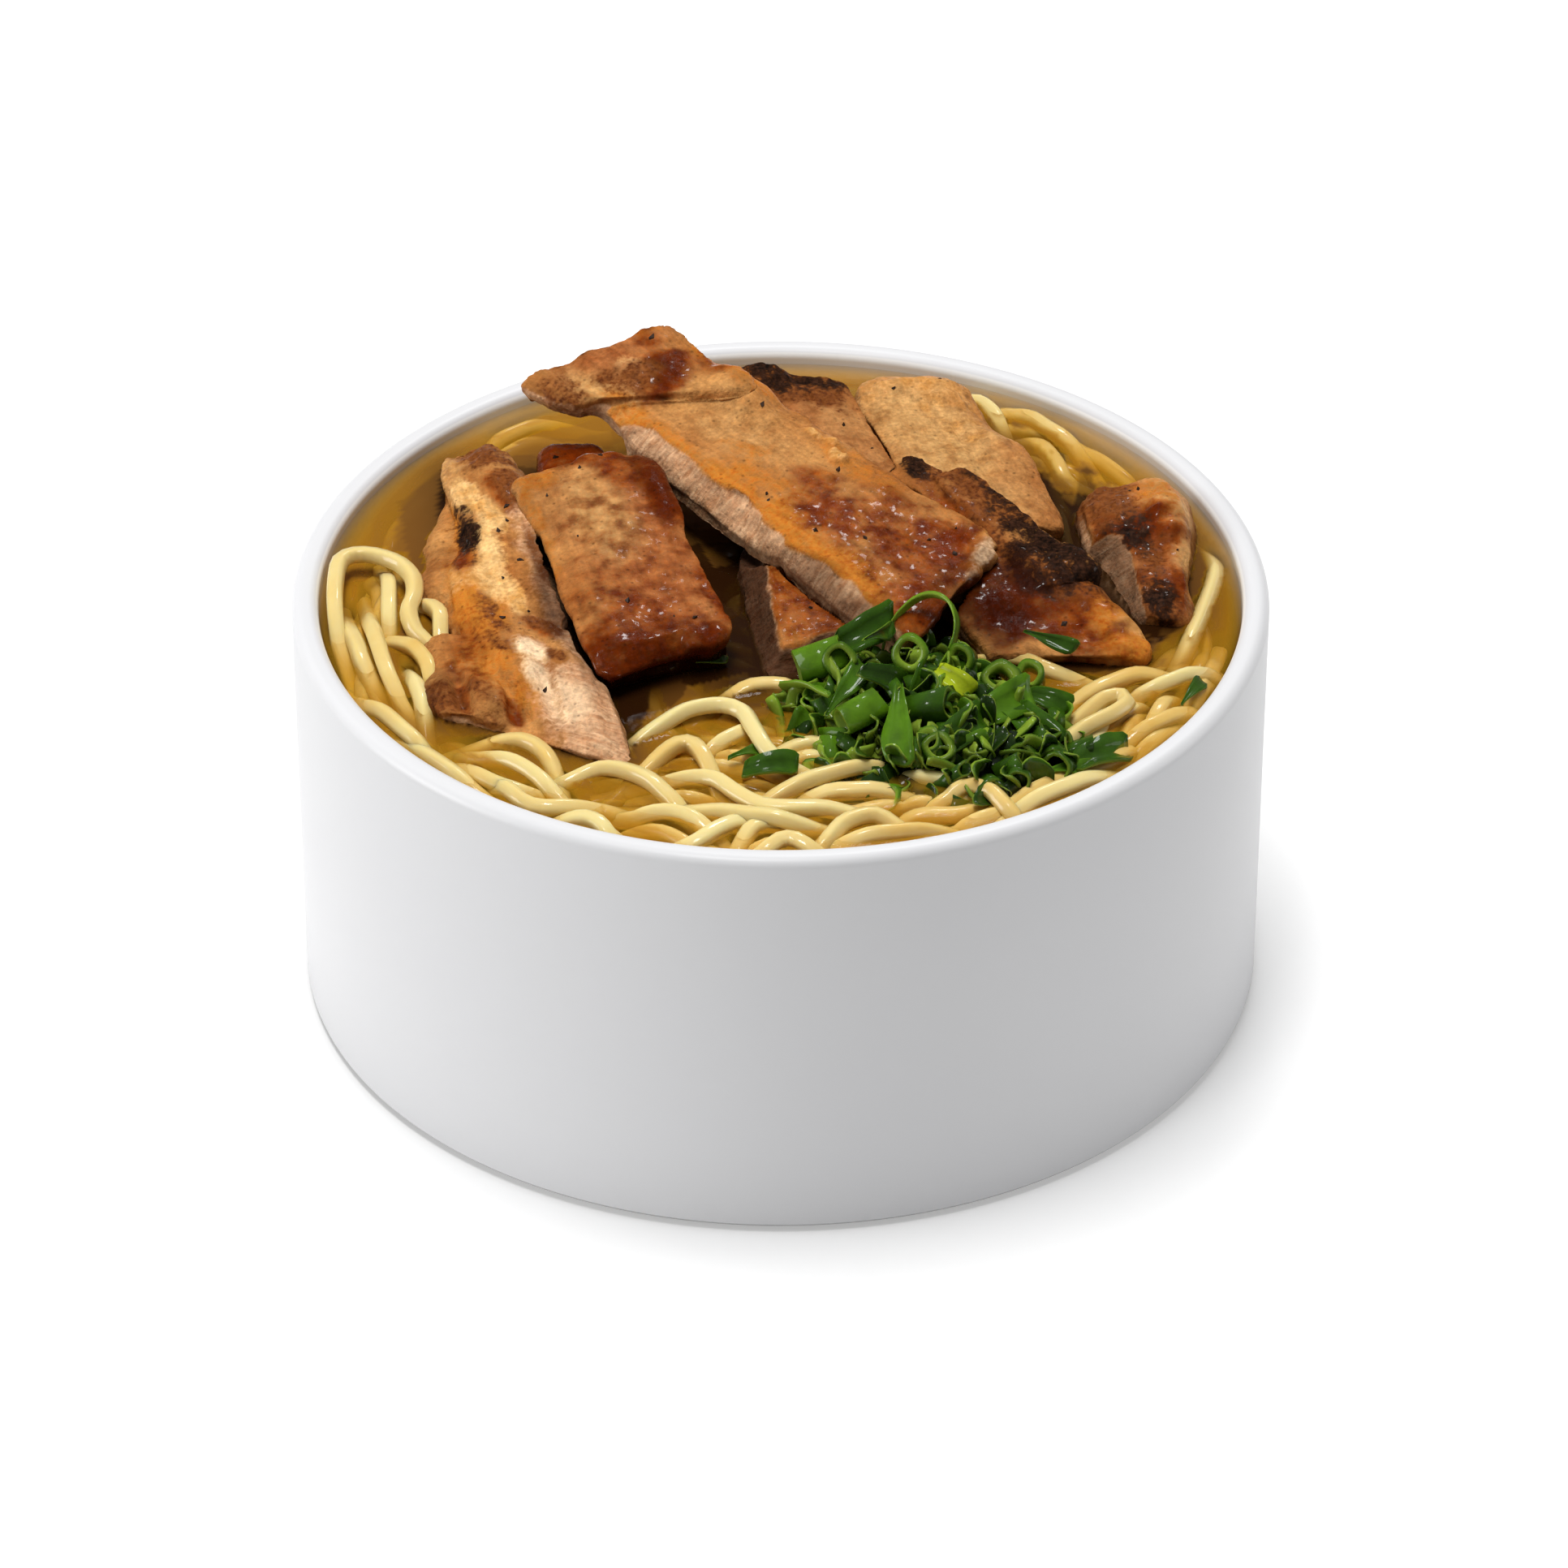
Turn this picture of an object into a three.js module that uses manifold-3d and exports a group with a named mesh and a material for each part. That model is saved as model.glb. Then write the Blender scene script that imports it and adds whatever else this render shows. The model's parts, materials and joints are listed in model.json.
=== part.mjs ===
// A bowl of noodle soup topped with sliced barbecue chicken and chopped spring onion.
// Millimetres, +Z up. The origin is the centre of the bowl's foot, on the table. -Y is the side of
// the bowl that faces the eater, where the noodles and the spring onion show.
import * as THREE from "three";
import { mergeVertices } from "three/addons/utils/BufferGeometryUtils.js";
import Module from "manifold-3d";

// Driving dimensions
const BOWL_RADIUS = 80;
const BOWL_HEIGHT = 72;
const WALL = 4.4;
const FLOOR = 7;
const FOOT_HEIGHT = 0.9;
const FOOT_RADIUS = BOWL_RADIUS - 1.5;
const FOOT_WIDTH = 9;
const FOOT_RECESS = 2;
const BASE_ROUND = 0.8;
const LIP_ROUND = 1.8;
const CAVITY_CORNER = 16;
const CAVITY_RADIUS = BOWL_RADIUS - WALL;
const SOUP_LEVEL = BOWL_HEIGHT - 3;
const GAP = 0.3;
const ROUND_STEPS = 40;

const NOODLE = 3.2;
const NOODLE_SIDES = 5;
const NOODLE_STEP = 5.8;
const NOODLE_END_DIP = 4.2;
const HEAP_RADIUS = 73;
const HEAP_RINGS = [24, 44, 60, HEAP_RADIUS];
const HEAP_UNDERCUT = 3;
const HEAP_TRUNK_RADIUS = 62;
const HEAP_RAFT_DEPTH = 9;
const HEAP_JOIN = 2;
const HEAP_SUNK = 4.5;
const HEAP_PROUD = 0.3;
const HEAP_FULLNESS = 1.5;
const HEAP_BUMP = 0.3;
const HEAP_BUMP_SIZE = 30;
const HEAP_STEPS = 20;

const SLAB_SIDES = 12;
const SLAB_BLUNTNESS = 8;
const SLAB_SQUARENESS = 0.36;
const SLAB_SWELL = 0.5;
const SLAB_SWELL_SIZE = 24;

const ONION_WALL = 0.8;
const ONION_SIDES = 7;
const ONION_SUNK = 1.6;
const ONION_OUTER = [2.6, 4.4];
const ONION_TALL = [1.8, 3.8];
const ONION_TILT = 60;
const ONION_SPREAD = 0.85;
const ONION_RINGS = 11;
const ONION_STEPS = 14;

const wasm = await Module();
wasm.setup();

// Colours
const GLAZED_WHITE = { color: 0xf1f2f4, roughness: 0.35, metalness: 0 };
const BROTH_AMBER = { color: 0x9a6a22, roughness: 0.1, metalness: 0 };
const NOODLE_YELLOW = { color: 0xe6cf86, roughness: 0.4, metalness: 0 };
const ROAST_SKIN = { color: 0xa65f2c, roughness: 0.45, metalness: 0 };
const ONION_GREEN = { color: 0x2f7d22, roughness: 0.4, metalness: 0 };

const radians = THREE.MathUtils.degToRad;
const mix = THREE.MathUtils.lerp;
const signedPower = (value, power) => Math.sign(value) * Math.abs(value) ** power;

// A repeatable source of random numbers from 0 to 1.
function seeded(seed) {
  let state = seed;
  return () => {
    state = (state + 0x6d2b79f5) | 0;
    let t = Math.imul(state ^ (state >>> 15), 1 | state);
    t = (t + Math.imul(t ^ (t >>> 7), 61 | t)) ^ t;
    return ((t ^ (t >>> 14)) >>> 0) / 2 ** 32;
  };
}

// A smooth uneven field from -1 to 1: a few waves of random direction, about `size` mm long.
function unevenness(seed, size, waves = 5) {
  const random = seeded(seed);
  const turn = () => (random() * 2 - 1) * (2 * Math.PI) / size;
  const terms = Array.from({ length: waves }, () => [turn(), turn(), turn(), random() * 2 * Math.PI]);
  return (x, y, z) =>
    terms.reduce((sum, [a, b, c, phase]) => sum + Math.sin(a * x + b * y + c * z + phase), 0) / waves;
}

function solidFrom(geometry) {
  const bare = geometry.clone();
  bare.deleteAttribute("normal");
  bare.deleteAttribute("uv");
  const merged = mergeVertices(bare, 1e-4);
  return new wasm.Manifold(
    new wasm.Mesh({
      numProp: 3,
      vertProperties: merged.attributes.position.array,
      triVerts: new Uint32Array(merged.index.array),
    }),
  );
}

function geometryFrom(solid) {
  const mesh = solid.getMesh();
  const geometry = new THREE.BufferGeometry();
  geometry.setAttribute("position", new THREE.BufferAttribute(mesh.vertProperties, 3));
  geometry.setIndex(new THREE.BufferAttribute(mesh.triVerts, 1));
  return geometry;
}

// The largest piece of a solid that a cut may have left in several.
function largest(solid) {
  const pieces = solid.decompose();
  return pieces.reduce((best, piece) => (piece.volume() > best.volume() ? piece : best));
}

function union(solids) {
  return solids.reduce((whole, solid) => whole.add(solid));
}

function meshOf(name, geometry, finish) {
  geometry.computeVertexNormals();
  const mesh = new THREE.Mesh(geometry, new THREE.MeshStandardMaterial(finish));
  mesh.name = name;
  return mesh;
}

// A closed skin over rings of points: each ring joins the next, and the first and last are single points.
function skinOver(rings, sides) {
  const points = [];
  const faces = [];
  const start = rings.map((ring) => {
    const first = points.length / 3;
    ring.forEach((p) => points.push(p.x, p.y, p.z));
    return first;
  });
  for (let i = 0; i + 1 < rings.length; i += 1) {
    for (let j = 0; j < sides; j += 1) {
      const k = (j + 1) % sides;
      const [a, b] = [start[i], start[i + 1]];
      if (rings[i].length === 1) faces.push(a, b + k, b + j);
      else if (rings[i + 1].length === 1) faces.push(a + j, a + k, b);
      else faces.push(a + j, a + k, b + k, a + j, b + k, b + j);
    }
  }
  const geometry = new THREE.BufferGeometry();
  geometry.setAttribute("position", new THREE.Float32BufferAttribute(points, 3));
  geometry.setIndex(faces);
  return geometry;
}

// The arc of a profile round (x, y), from one angle to another in degrees.
function arc(x, y, radius, from, to, steps) {
  return Array.from({ length: steps + 1 }, (_, i) => {
    const angle = radians(mix(from, to, i / steps));
    return new THREE.Vector2(x + radius * Math.cos(angle), y + radius * Math.sin(angle));
  });
}

// The straight-sided bowl: a shallow foot ring, an upright wall and a softly rounded lip.
function bowlGeometry() {
  const footInside = FOOT_RADIUS - FOOT_WIDTH;
  const profile = [
    new THREE.Vector2(0, FOOT_RECESS),
    new THREE.Vector2(footInside - FOOT_RECESS, FOOT_RECESS),
    new THREE.Vector2(footInside, 0),
    new THREE.Vector2(FOOT_RADIUS, 0),
    new THREE.Vector2(FOOT_RADIUS, FOOT_HEIGHT),
    ...arc(BOWL_RADIUS - BASE_ROUND, FOOT_HEIGHT + BASE_ROUND, BASE_ROUND, -60, 0, 1),
    ...arc(BOWL_RADIUS - LIP_ROUND, BOWL_HEIGHT - LIP_ROUND, LIP_ROUND, 0, 90, 2),
    ...arc(CAVITY_RADIUS + LIP_ROUND, BOWL_HEIGHT - LIP_ROUND, LIP_ROUND, 90, 180, 2),
    ...arc(CAVITY_RADIUS - CAVITY_CORNER, FLOOR + CAVITY_CORNER, CAVITY_CORNER, 0, -90, 3),
    new THREE.Vector2(0, FLOOR),
  ];
  return new THREE.LatheGeometry(profile, ROUND_STEPS).rotateX(Math.PI / 2);
}

// The space that the broth fills before the food is cut out of it.
function brothGeometry() {
  const radius = CAVITY_RADIUS - GAP;
  const corner = CAVITY_CORNER - GAP;
  const profile = [
    new THREE.Vector2(0, FLOOR + GAP),
    ...arc(radius - corner, FLOOR + CAVITY_CORNER, corner, -90, 0, 3),
    new THREE.Vector2(radius, SOUP_LEVEL),
    new THREE.Vector2(0, SOUP_LEVEL),
  ];
  return new THREE.LatheGeometry(profile, ROUND_STEPS).rotateX(Math.PI / 2);
}

// Where the noodles come up to the surface: [x, y, reach along x, reach along y, rise].
const NOODLE_MOUNDS = [
  [-62, -12, 15, 24, 1],
  [-46, -46, 22, 22, 1],
  [-12, -56, 34, 20, 1],
  [34, -54, 28, 20, 0.9],
  [52, -36, 18, 18, 0.9],
  [0, 6, 44, 40, 1],
  [42, 50, 18, 14, 0.8],
];

const heapBumps = unevenness(11, HEAP_BUMP_SIZE);

// The height of the noodle heap at a place, between sunk in the broth and a little proud of it.
function heapTop(x, y) {
  const rise = NOODLE_MOUNDS.reduce((most, [cx, cy, reachX, reachY, height]) => {
    const away = ((x - cx) / reachX) ** 2 + ((y - cy) / reachY) ** 2;
    return Math.max(most, height * Math.exp(-(away ** 2)));
  }, 0);
  const low = SOUP_LEVEL - HEAP_SUNK;
  const share = Math.min(rise * HEAP_FULLNESS, 1);
  return mix(low, SOUP_LEVEL + HEAP_PROUD, share) + HEAP_BUMP * heapBumps(x, y, 0);
}

// The heap under the strands: a trunk that stands on the bowl's floor and an uneven raft on top.
function heapSolid(grow) {
  const raftFoot = SOUP_LEVEL - HEAP_RAFT_DEPTH - grow;
  const ringAt = (radius, height) =>
    Array.from({ length: HEAP_STEPS }, (_, i) => {
      const angle = (i / HEAP_STEPS) * 2 * Math.PI;
      const [x, y] = [radius * Math.cos(angle), radius * Math.sin(angle)];
      return new THREE.Vector3(x, y, height ?? heapTop(x, y) + grow);
    });
  const rings = [
    [new THREE.Vector3(0, 0, raftFoot)],
    ringAt(HEAP_RADIUS - HEAP_UNDERCUT + grow, raftFoot),
    ...HEAP_RINGS.map((radius) => ringAt(radius + (radius === HEAP_RADIUS ? grow : 0))).reverse(),
    [new THREE.Vector3(0, 0, heapTop(0, 0) + grow)],
  ];
  const trunkFoot = FLOOR + 2 * GAP - grow;
  const trunkTop = SOUP_LEVEL - HEAP_RAFT_DEPTH + HEAP_JOIN;
  const trunkProfile = [
    new THREE.Vector2(0, trunkFoot),
    new THREE.Vector2(HEAP_TRUNK_RADIUS - CAVITY_CORNER / 2 + grow, trunkFoot),
    new THREE.Vector2(HEAP_TRUNK_RADIUS + grow, FLOOR + CAVITY_CORNER),
    new THREE.Vector2(HEAP_TRUNK_RADIUS + grow, trunkTop),
    new THREE.Vector2(0, trunkTop),
  ];
  const trunk = new THREE.LatheGeometry(trunkProfile, HEAP_STEPS).rotateX(Math.PI / 2);
  return solidFrom(skinOver(rings, HEAP_STEPS)).add(solidFrom(trunk));
}

// The strands that show, as laid: places along each, how high its middle line lies over the broth,
// and `arch`, how much more its middle lifts.
const STRANDS = [
  { path: [[-70, -13], [-73, -5], [-72.5, 4], [-68, 8.5], [-62, 7], [-60, 0], [-60, -9], [-56, -19]],
    over: 0.4, arch: 3.4 },
  { path: [[-66, 3], [-65, -4], [-63.5, -12], [-58, -19], [-55, -27]], over: 0.8, arch: 2 },
  { path: [[-67, -2], [-67, -11], [-64.5, -20], [-61, -27], [-57, -34]], over: 0.9, arch: 0.6 },
  { path: [[-66, -33], [-62, -38], [-57, -43], [-51, -48], [-44, -53]], over: 0.6, arch: 0.4 },
  { path: [[-50, -41], [-45, -43], [-41, -43.5], [-37, -48], [-34, -56], [-30, -62]],
    over: 0.8, arch: 0.8 },
  { path: [[-48, -46], [-41, -51], [-35, -57], [-26, -60], [-17, -60]], over: 0.4, arch: 0.3 },
  { path: [[-36, -53], [-29, -52.5], [-22, -52], [-17.5, -47], [-13.5, -47.5], [-12, -55], [-14, -62]],
    over: 0.9, arch: 1.6 },
  { path: [[-30, -60], [-23, -56], [-15, -54.5], [-7, -58], [1, -63], [10, -63]], over: 1, arch: 0.8 },
  { path: [[-24, -44], [-18, -38], [-12, -35.5], [-7, -35], [-4, -40], [-2, -47], [3, -50], [8, -53.5]],
    over: 0.8, arch: 2.6 },
  { path: [[-3, -59], [3, -56], [8, -53.5], [14, -49.5], [21, -47.5]], over: 1.6, arch: 0.8 },
  { path: [[-16, -50], [-10, -57], [-3, -60.5], [5, -62], [12, -60], [19, -57]], over: 0.9, arch: 0.4 },
  { path: [[-34, -66], [-29, -64.5], [-22, -67.5], [-15, -71]], over: 0.3, arch: 0.6 },
  { path: [[2, -71], [9, -67.5], [15, -65], [22, -66]], over: 0.5, arch: 0.6 },
  { path: [[30, -17], [37, -19], [43, -20.5], [48, -25], [53, -27]], over: 1, arch: 0.8 },
  { path: [[46, -32], [52, -27], [58, -24], [66, -23]], over: 0.8, arch: 0.6 },
  { path: [[38, -49], [44, -44], [50, -40], [54.5, -37.5], [54, -33]], over: 1.6, arch: 1.4 },
  { path: [[34, -61], [41, -58.5], [48, -53.5], [54, -48]], over: 0.8, arch: 0.4 },
  { path: [[24, -58], [29, -58], [33, -60.5], [37, -64]], over: 0.8, arch: 1 },
  { path: [[71.8, 14], [73.2, 7], [72.4, -2], [69, -11], [63.5, -19], [58, -26]], over: 0.6, arch: 0.4 },
  { path: [[36, 63], [42, 60], [46.5, 52], [49.5, 44], [54, 38]], over: 0.4, arch: 0.4 },
];

function strandSolid({ path, over, arch }, grow) {
  const last = path.length - 1;
  const spine = new THREE.CatmullRomCurve3(
    path.map(([x, y], i) => {
      const dip = i === 0 || i === last ? NOODLE_END_DIP : 0;
      const lift = arch * Math.sin((Math.PI * i) / last) - dip;
      return new THREE.Vector3(x, y, SOUP_LEVEL + over + lift);
    }),
  );
  const section = new THREE.Shape(arc(0, 0, NOODLE / 2 + grow, 0, 360, NOODLE_SIDES).slice(0, -1));
  const steps = Math.round(spine.getLength() / NOODLE_STEP);
  return solidFrom(new THREE.ExtrudeGeometry(section, { steps, extrudePath: spine, bevelEnabled: false }));
}

// The slices, from the one on top down: each gives way to those before it. A slice is one or more
// slabs joined. `top` holds the corners of a slab's upper face: far left, far right, near right and
// near left. `arch` lifts its middle, `crown` rounds its upper face and `bulge` widens its middle.
const SLICES = [
  { name: "chicken_top", seed: 3, slabs: [
    { top: [[-37, 43, 86.5], [-18, 55.5, 88], [37, 4.5, 79], [20.5, -26.5, 77]],
      thickness: 8, crown: 0.8 },
    { top: [[-45.5, 41, 87.2], [-19, 53, 91.4], [-4, 36.5, 88], [-35.5, 34.5, 86]],
      thickness: 7.5, crown: 2 },
  ] },
  { name: "chicken_left", seed: 5, slabs: [
    { top: [[-44.5, 24, 79], [-22.5, 28.5, 82], [-6.5, -19.5, 76], [-30, -32, 76.5]],
      thickness: 9, crown: 1 },
  ] },
  { name: "chicken_right", seed: 7, slabs: [
    { top: [[14.5, 16.5, 80], [22, 33.5, 80.5], [63, -20.5, 71.5], [33, -21, 72]],
      thickness: 11, crown: 2 },
    { top: [[24, 21, 80.5], [31, 24.5, 80.8], [52.5, -0.5, 76], [43, -7, 76.5]],
      thickness: 10, crown: 2, bulge: 0.1 },
  ] },
  { name: "chicken_back_middle", seed: 9, slabs: [
    { top: [[-9.5, 58, 80.5], [11.5, 55.5, 79.5], [22, 25, 77], [6.5, 21, 78]],
      thickness: 11, crown: 1.5 },
  ] },
  { name: "chicken_far_left", seed: 13, slabs: [
    { top: [[-59, 43.5, 74], [-43.5, 35.5, 78.5], [-21.5, -52, 71], [-50, -38.5, 70.5]],
      thickness: 13, crown: 2, arch: 1.5 },
    { top: [[-58, -12, 71], [-45, -18, 73], [-42, -40, 72], [-56, -36, 71]],
      thickness: 7, crown: 2 },
  ] },
  { name: "chicken_back_right", seed: 15, slabs: [
    { top: [[12, 59, 77], [31, 59.5, 76], [49, 17.5, 72.5], [24, 15.5, 75]],
      thickness: 10, crown: 1.5, bulge: 0.2 },
  ] },
  { name: "chicken_middle", seed: 17, slabs: [
    { top: [[-7.5, 11, 77], [13, 14, 76], [19.5, -20, 71.5], [-2, -28, 73]],
      thickness: 9, crown: 1 },
  ] },
  { name: "chicken_rim_right", seed: 19, slabs: [
    { top: [[49, 27, 75], [65.5, 30, 75], [67.5, -9, 71], [56.5, -8, 72.5]],
      thickness: 15, crown: 4, bulge: 0.2 },
  ] },
  { name: "chicken_tucked", seed: 21, slabs: [
    { top: [[-41, 39, 76], [-29, 37, 77], [-28, 22, 75.5], [-40, 28, 75]],
      thickness: 9, crown: 1.5 },
  ] },
];

// Where a slab's rings stand along it, bunched at the ends so that they come out blunt.
const STATIONS = [-1, -0.985, -0.92, -0.7, -0.36, 0, 0.36, 0.7, 0.92, 0.985, 1];

function slabGeometry({ top, thickness, crown, arch = 0, bulge = 0 }, seed, grow) {
  const corners = top.map((corner) => new THREE.Vector3(...corner));
  const [farLeft, farRight, nearRight, nearLeft] = corners;
  const length = farLeft.distanceTo(nearLeft);
  const width = farLeft.distanceTo(farRight);
  const normal = nearRight.clone().sub(farLeft).cross(farRight.clone().sub(nearLeft)).normalize();
  const uneven = unevenness(seed, SLAB_SWELL_SIZE);
  const faceAt = (along, across) => {
    const left = farLeft.clone().lerp(nearLeft, (along + 1) / 2);
    const right = farRight.clone().lerp(nearRight, (along + 1) / 2);
    return left.lerp(right, (across + 1) / 2);
  };
  const rings = STATIONS.map((station) => {
    const along = station * (1 + (2 * grow) / length);
    const blunt = (1 - station ** SLAB_BLUNTNESS) ** (1 / SLAB_BLUNTNESS);
    const reach = (1 + bulge * (1 - station ** 2) + (2 * grow) / width) * blunt;
    const middle = faceAt(along, 0).addScaledVector(normal, -thickness / 2);
    if (Math.abs(station) === 1) return [middle];
    return Array.from({ length: SLAB_SIDES }, (_, i) => {
      const angle = ((i + 0.5) / SLAB_SIDES) * 2 * Math.PI;
      const across = signedPower(Math.cos(angle), SLAB_SQUARENESS);
      const up = signedPower(Math.sin(angle), SLAB_SQUARENESS);
      const swell = SLAB_SWELL * uneven(station * length / 2, across * width / 2, up * thickness);
      const rounding = crown * (1 - across ** 2) - crown / 2 + arch * (1 - station ** 2);
      const height = (thickness / 2 + grow + swell) * up * blunt + rounding * (up > 0 ? up : 0);
      const spot = faceAt(along, across * (reach + swell / width));
      return spot.addScaledVector(normal, height - thickness / 2);
    });
  });
  return skinOver(rings, SLAB_SIDES);
}

function sliceSolid({ slabs, seed }, grow) {
  return union(slabs.map((slab, i) => solidFrom(slabGeometry(slab, seed + i, grow))));
}

// The spring onion: a low mound of chopped green with cut rings standing and lying on it.
const ONION_MOUND = {
  centre: [25, -36], reach: [30, 19], turn: -42, height: 3.4, swell: 0.14, swellSize: 14, seed: 31,
};
// The mound's rings from its foot up: share of its reach, and height from sunk (-1) to its crest (1).
const ONION_LEVELS = [[0.8, -1], [1, 0], [0.88, 0.5], [0.56, 0.9]];

function onionPlace(along, across) {
  const { centre, reach, turn } = ONION_MOUND;
  const angle = radians(turn);
  const [u, v] = [along * reach[0], across * reach[1]];
  return [
    centre[0] + u * Math.cos(angle) - v * Math.sin(angle),
    centre[1] + u * Math.sin(angle) + v * Math.cos(angle),
  ];
}

function onionMoundSolid(grow) {
  const { centre, reach: moundReach, height: crestHeight, swell: swelling, swellSize, seed } = ONION_MOUND;
  const uneven = unevenness(seed, swellSize);
  const heightAt = (rise) =>
    SOUP_LEVEL + (rise < 0 ? rise * (ONION_SUNK + grow) : rise * (crestHeight + grow));
  const ringAt = ([share, rise]) =>
    Array.from({ length: ONION_STEPS }, (_, i) => {
      const angle = (i / ONION_STEPS) * 2 * Math.PI;
      const [across, along] = [Math.cos(angle), Math.sin(angle)];
      const swell = share * (1 + swelling * uneven(across * swellSize, along * swellSize, 0));
      const reach = swell + grow / moundReach[1];
      const [x, y] = onionPlace(reach * Math.cos(angle), reach * Math.sin(angle));
      return new THREE.Vector3(x, y, heightAt(rise));
    });
  const [x, y] = centre;
  const foot = [new THREE.Vector3(x, y, heightAt(-1))];
  const crest = [new THREE.Vector3(x, y, heightAt(1))];
  return solidFrom(skinOver([foot, ...ONION_LEVELS.map(ringAt), crest], ONION_STEPS));
}

function onionRingSolid({ outer, tall, tilt, turn, distance, angle }, grow) {
  const inner = outer - ONION_WALL - grow;
  const profile = [
    new THREE.Vector2(inner, -grow),
    new THREE.Vector2(outer + grow, -grow),
    new THREE.Vector2(outer + grow, tall + grow),
    new THREE.Vector2(inner, tall + grow),
    new THREE.Vector2(inner, -grow),
  ];
  const [x, y] = onionPlace(distance * Math.cos(angle), distance * Math.sin(angle));
  const rise = ONION_MOUND.height * (1 - distance ** 2);
  const ring = new THREE.LatheGeometry(profile, ONION_SIDES)
    .rotateX(Math.PI / 2)
    .rotateX(radians(tilt))
    .rotateZ(turn)
    .translate(x, y, SOUP_LEVEL + rise - ONION_WALL);
  return solidFrom(ring);
}

const onionRandom = seeded(ONION_MOUND.seed);
const onionRings = Array.from({ length: ONION_RINGS }, () => ({
  outer: mix(...ONION_OUTER, onionRandom()),
  tall: mix(...ONION_TALL, onionRandom()),
  tilt: mix(-ONION_TILT, ONION_TILT, onionRandom()),
  turn: onionRandom() * 2 * Math.PI,
  distance: Math.sqrt(onionRandom()) * ONION_SPREAD,
  angle: onionRandom() * 2 * Math.PI,
}));

function onionSolid(grow) {
  return union([onionMoundSolid(grow), ...onionRings.map((ring) => onionRingSolid(ring, grow))]);
}

// Assembly: each piece gives way, with a small gap, to those that press into it.
const slices = SLICES.map((slice) => ({ ...slice, room: sliceSolid(slice, GAP) }));
const sliceRoom = union(slices.map((slice) => slice.room));
slices.forEach((slice, i) => {
  const above = slices.slice(0, i).map((other) => other.room);
  slice.solid = largest(above.reduce((left, room) => left.subtract(room), sliceSolid(slice, 0)));
});
const onion = largest(onionSolid(0).subtract(sliceRoom));
const onionRoom = onionSolid(GAP);
const strands = STRANDS.map((strand) => strandSolid(strand, 0));
const strandRoom = union(STRANDS.map((strand) => strandSolid(strand, GAP)));
const noodles = largest(union([heapSolid(0), ...strands]).subtract(sliceRoom).subtract(onionRoom));
const broth = largest(
  solidFrom(brothGeometry())
    .subtract(heapSolid(GAP))
    .subtract(strandRoom)
    .subtract(sliceRoom)
    .subtract(onionRoom),
);

const chicken = new THREE.Group();
slices.forEach((slice) => chicken.add(meshOf(slice.name, geometryFrom(slice.solid), ROAST_SKIN)));

const dish = new THREE.Group();
dish.add(meshOf("bowl", bowlGeometry(), GLAZED_WHITE));
dish.add(meshOf("broth", geometryFrom(broth), BROTH_AMBER));
dish.add(meshOf("noodles", geometryFrom(noodles), NOODLE_YELLOW));
dish.add(chicken);
dish.add(meshOf("spring_onion", geometryFrom(onion), ONION_GREEN));

export default dish;
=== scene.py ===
"""A bowl of noodle soup with sliced barbecue chicken and spring onion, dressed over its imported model.

Lengths are in millimetres where a name or a comment says so, and in metres in Blender's own data.
-Y is the side of the bowl that faces the eater, and +Z is up.
"""
import json
import math

import bpy
import numpy as np
from mathutils import Euler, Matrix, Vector
from mathutils.bvhtree import BVHTree

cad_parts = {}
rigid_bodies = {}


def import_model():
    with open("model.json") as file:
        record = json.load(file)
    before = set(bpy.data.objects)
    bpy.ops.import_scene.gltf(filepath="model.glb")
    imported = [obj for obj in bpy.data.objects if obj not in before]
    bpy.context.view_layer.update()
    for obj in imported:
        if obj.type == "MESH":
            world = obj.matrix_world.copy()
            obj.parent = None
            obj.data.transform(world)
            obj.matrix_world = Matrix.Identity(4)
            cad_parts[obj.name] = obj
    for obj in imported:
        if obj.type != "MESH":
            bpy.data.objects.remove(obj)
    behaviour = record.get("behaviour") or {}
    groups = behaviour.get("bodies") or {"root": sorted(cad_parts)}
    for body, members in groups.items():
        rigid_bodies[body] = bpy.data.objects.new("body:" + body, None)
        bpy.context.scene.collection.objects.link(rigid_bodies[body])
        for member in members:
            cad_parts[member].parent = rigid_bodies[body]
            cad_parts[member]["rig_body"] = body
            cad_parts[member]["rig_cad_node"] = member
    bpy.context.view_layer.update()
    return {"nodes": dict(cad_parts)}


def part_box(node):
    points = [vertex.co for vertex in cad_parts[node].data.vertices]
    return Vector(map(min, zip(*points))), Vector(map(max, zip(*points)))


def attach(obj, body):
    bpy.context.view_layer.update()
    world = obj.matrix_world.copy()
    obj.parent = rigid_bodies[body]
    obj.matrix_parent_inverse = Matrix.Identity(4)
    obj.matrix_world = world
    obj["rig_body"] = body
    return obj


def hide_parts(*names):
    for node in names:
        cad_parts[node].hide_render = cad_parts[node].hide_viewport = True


bl_info = {
    "name": "Barbecue chicken noodle soup",
    "version": (1, 0, 0),
    "blender": (4, 5, 0),
    "location": "View3D > Sidebar > Noodle soup",
    "description": "Makes the bowl, broth, noodles, sliced chicken and spring onion, and lights them",
    "category": "Object",
}

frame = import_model()

MM = 0.001
BODY = "root"

BOWL_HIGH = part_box("bowl")[1]
BOWL_RADIUS = BOWL_HIGH.x / MM
BOWL_HEIGHT = BOWL_HIGH.z / MM
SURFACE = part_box("broth")[1].z / MM

# The bowl's section, in mm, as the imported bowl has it.
WALL = 4.4
FLOOR = 7
FOOT_HEIGHT = 0.9
FOOT_RADIUS = BOWL_RADIUS - 1.5
FOOT_WIDTH = 9
FOOT_RECESS = 2
BASE_ROUND = 0.8
LIP_ROUND = 1.8
CAVITY_CORNER = 16
CAVITY_RADIUS = BOWL_RADIUS - WALL


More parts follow.
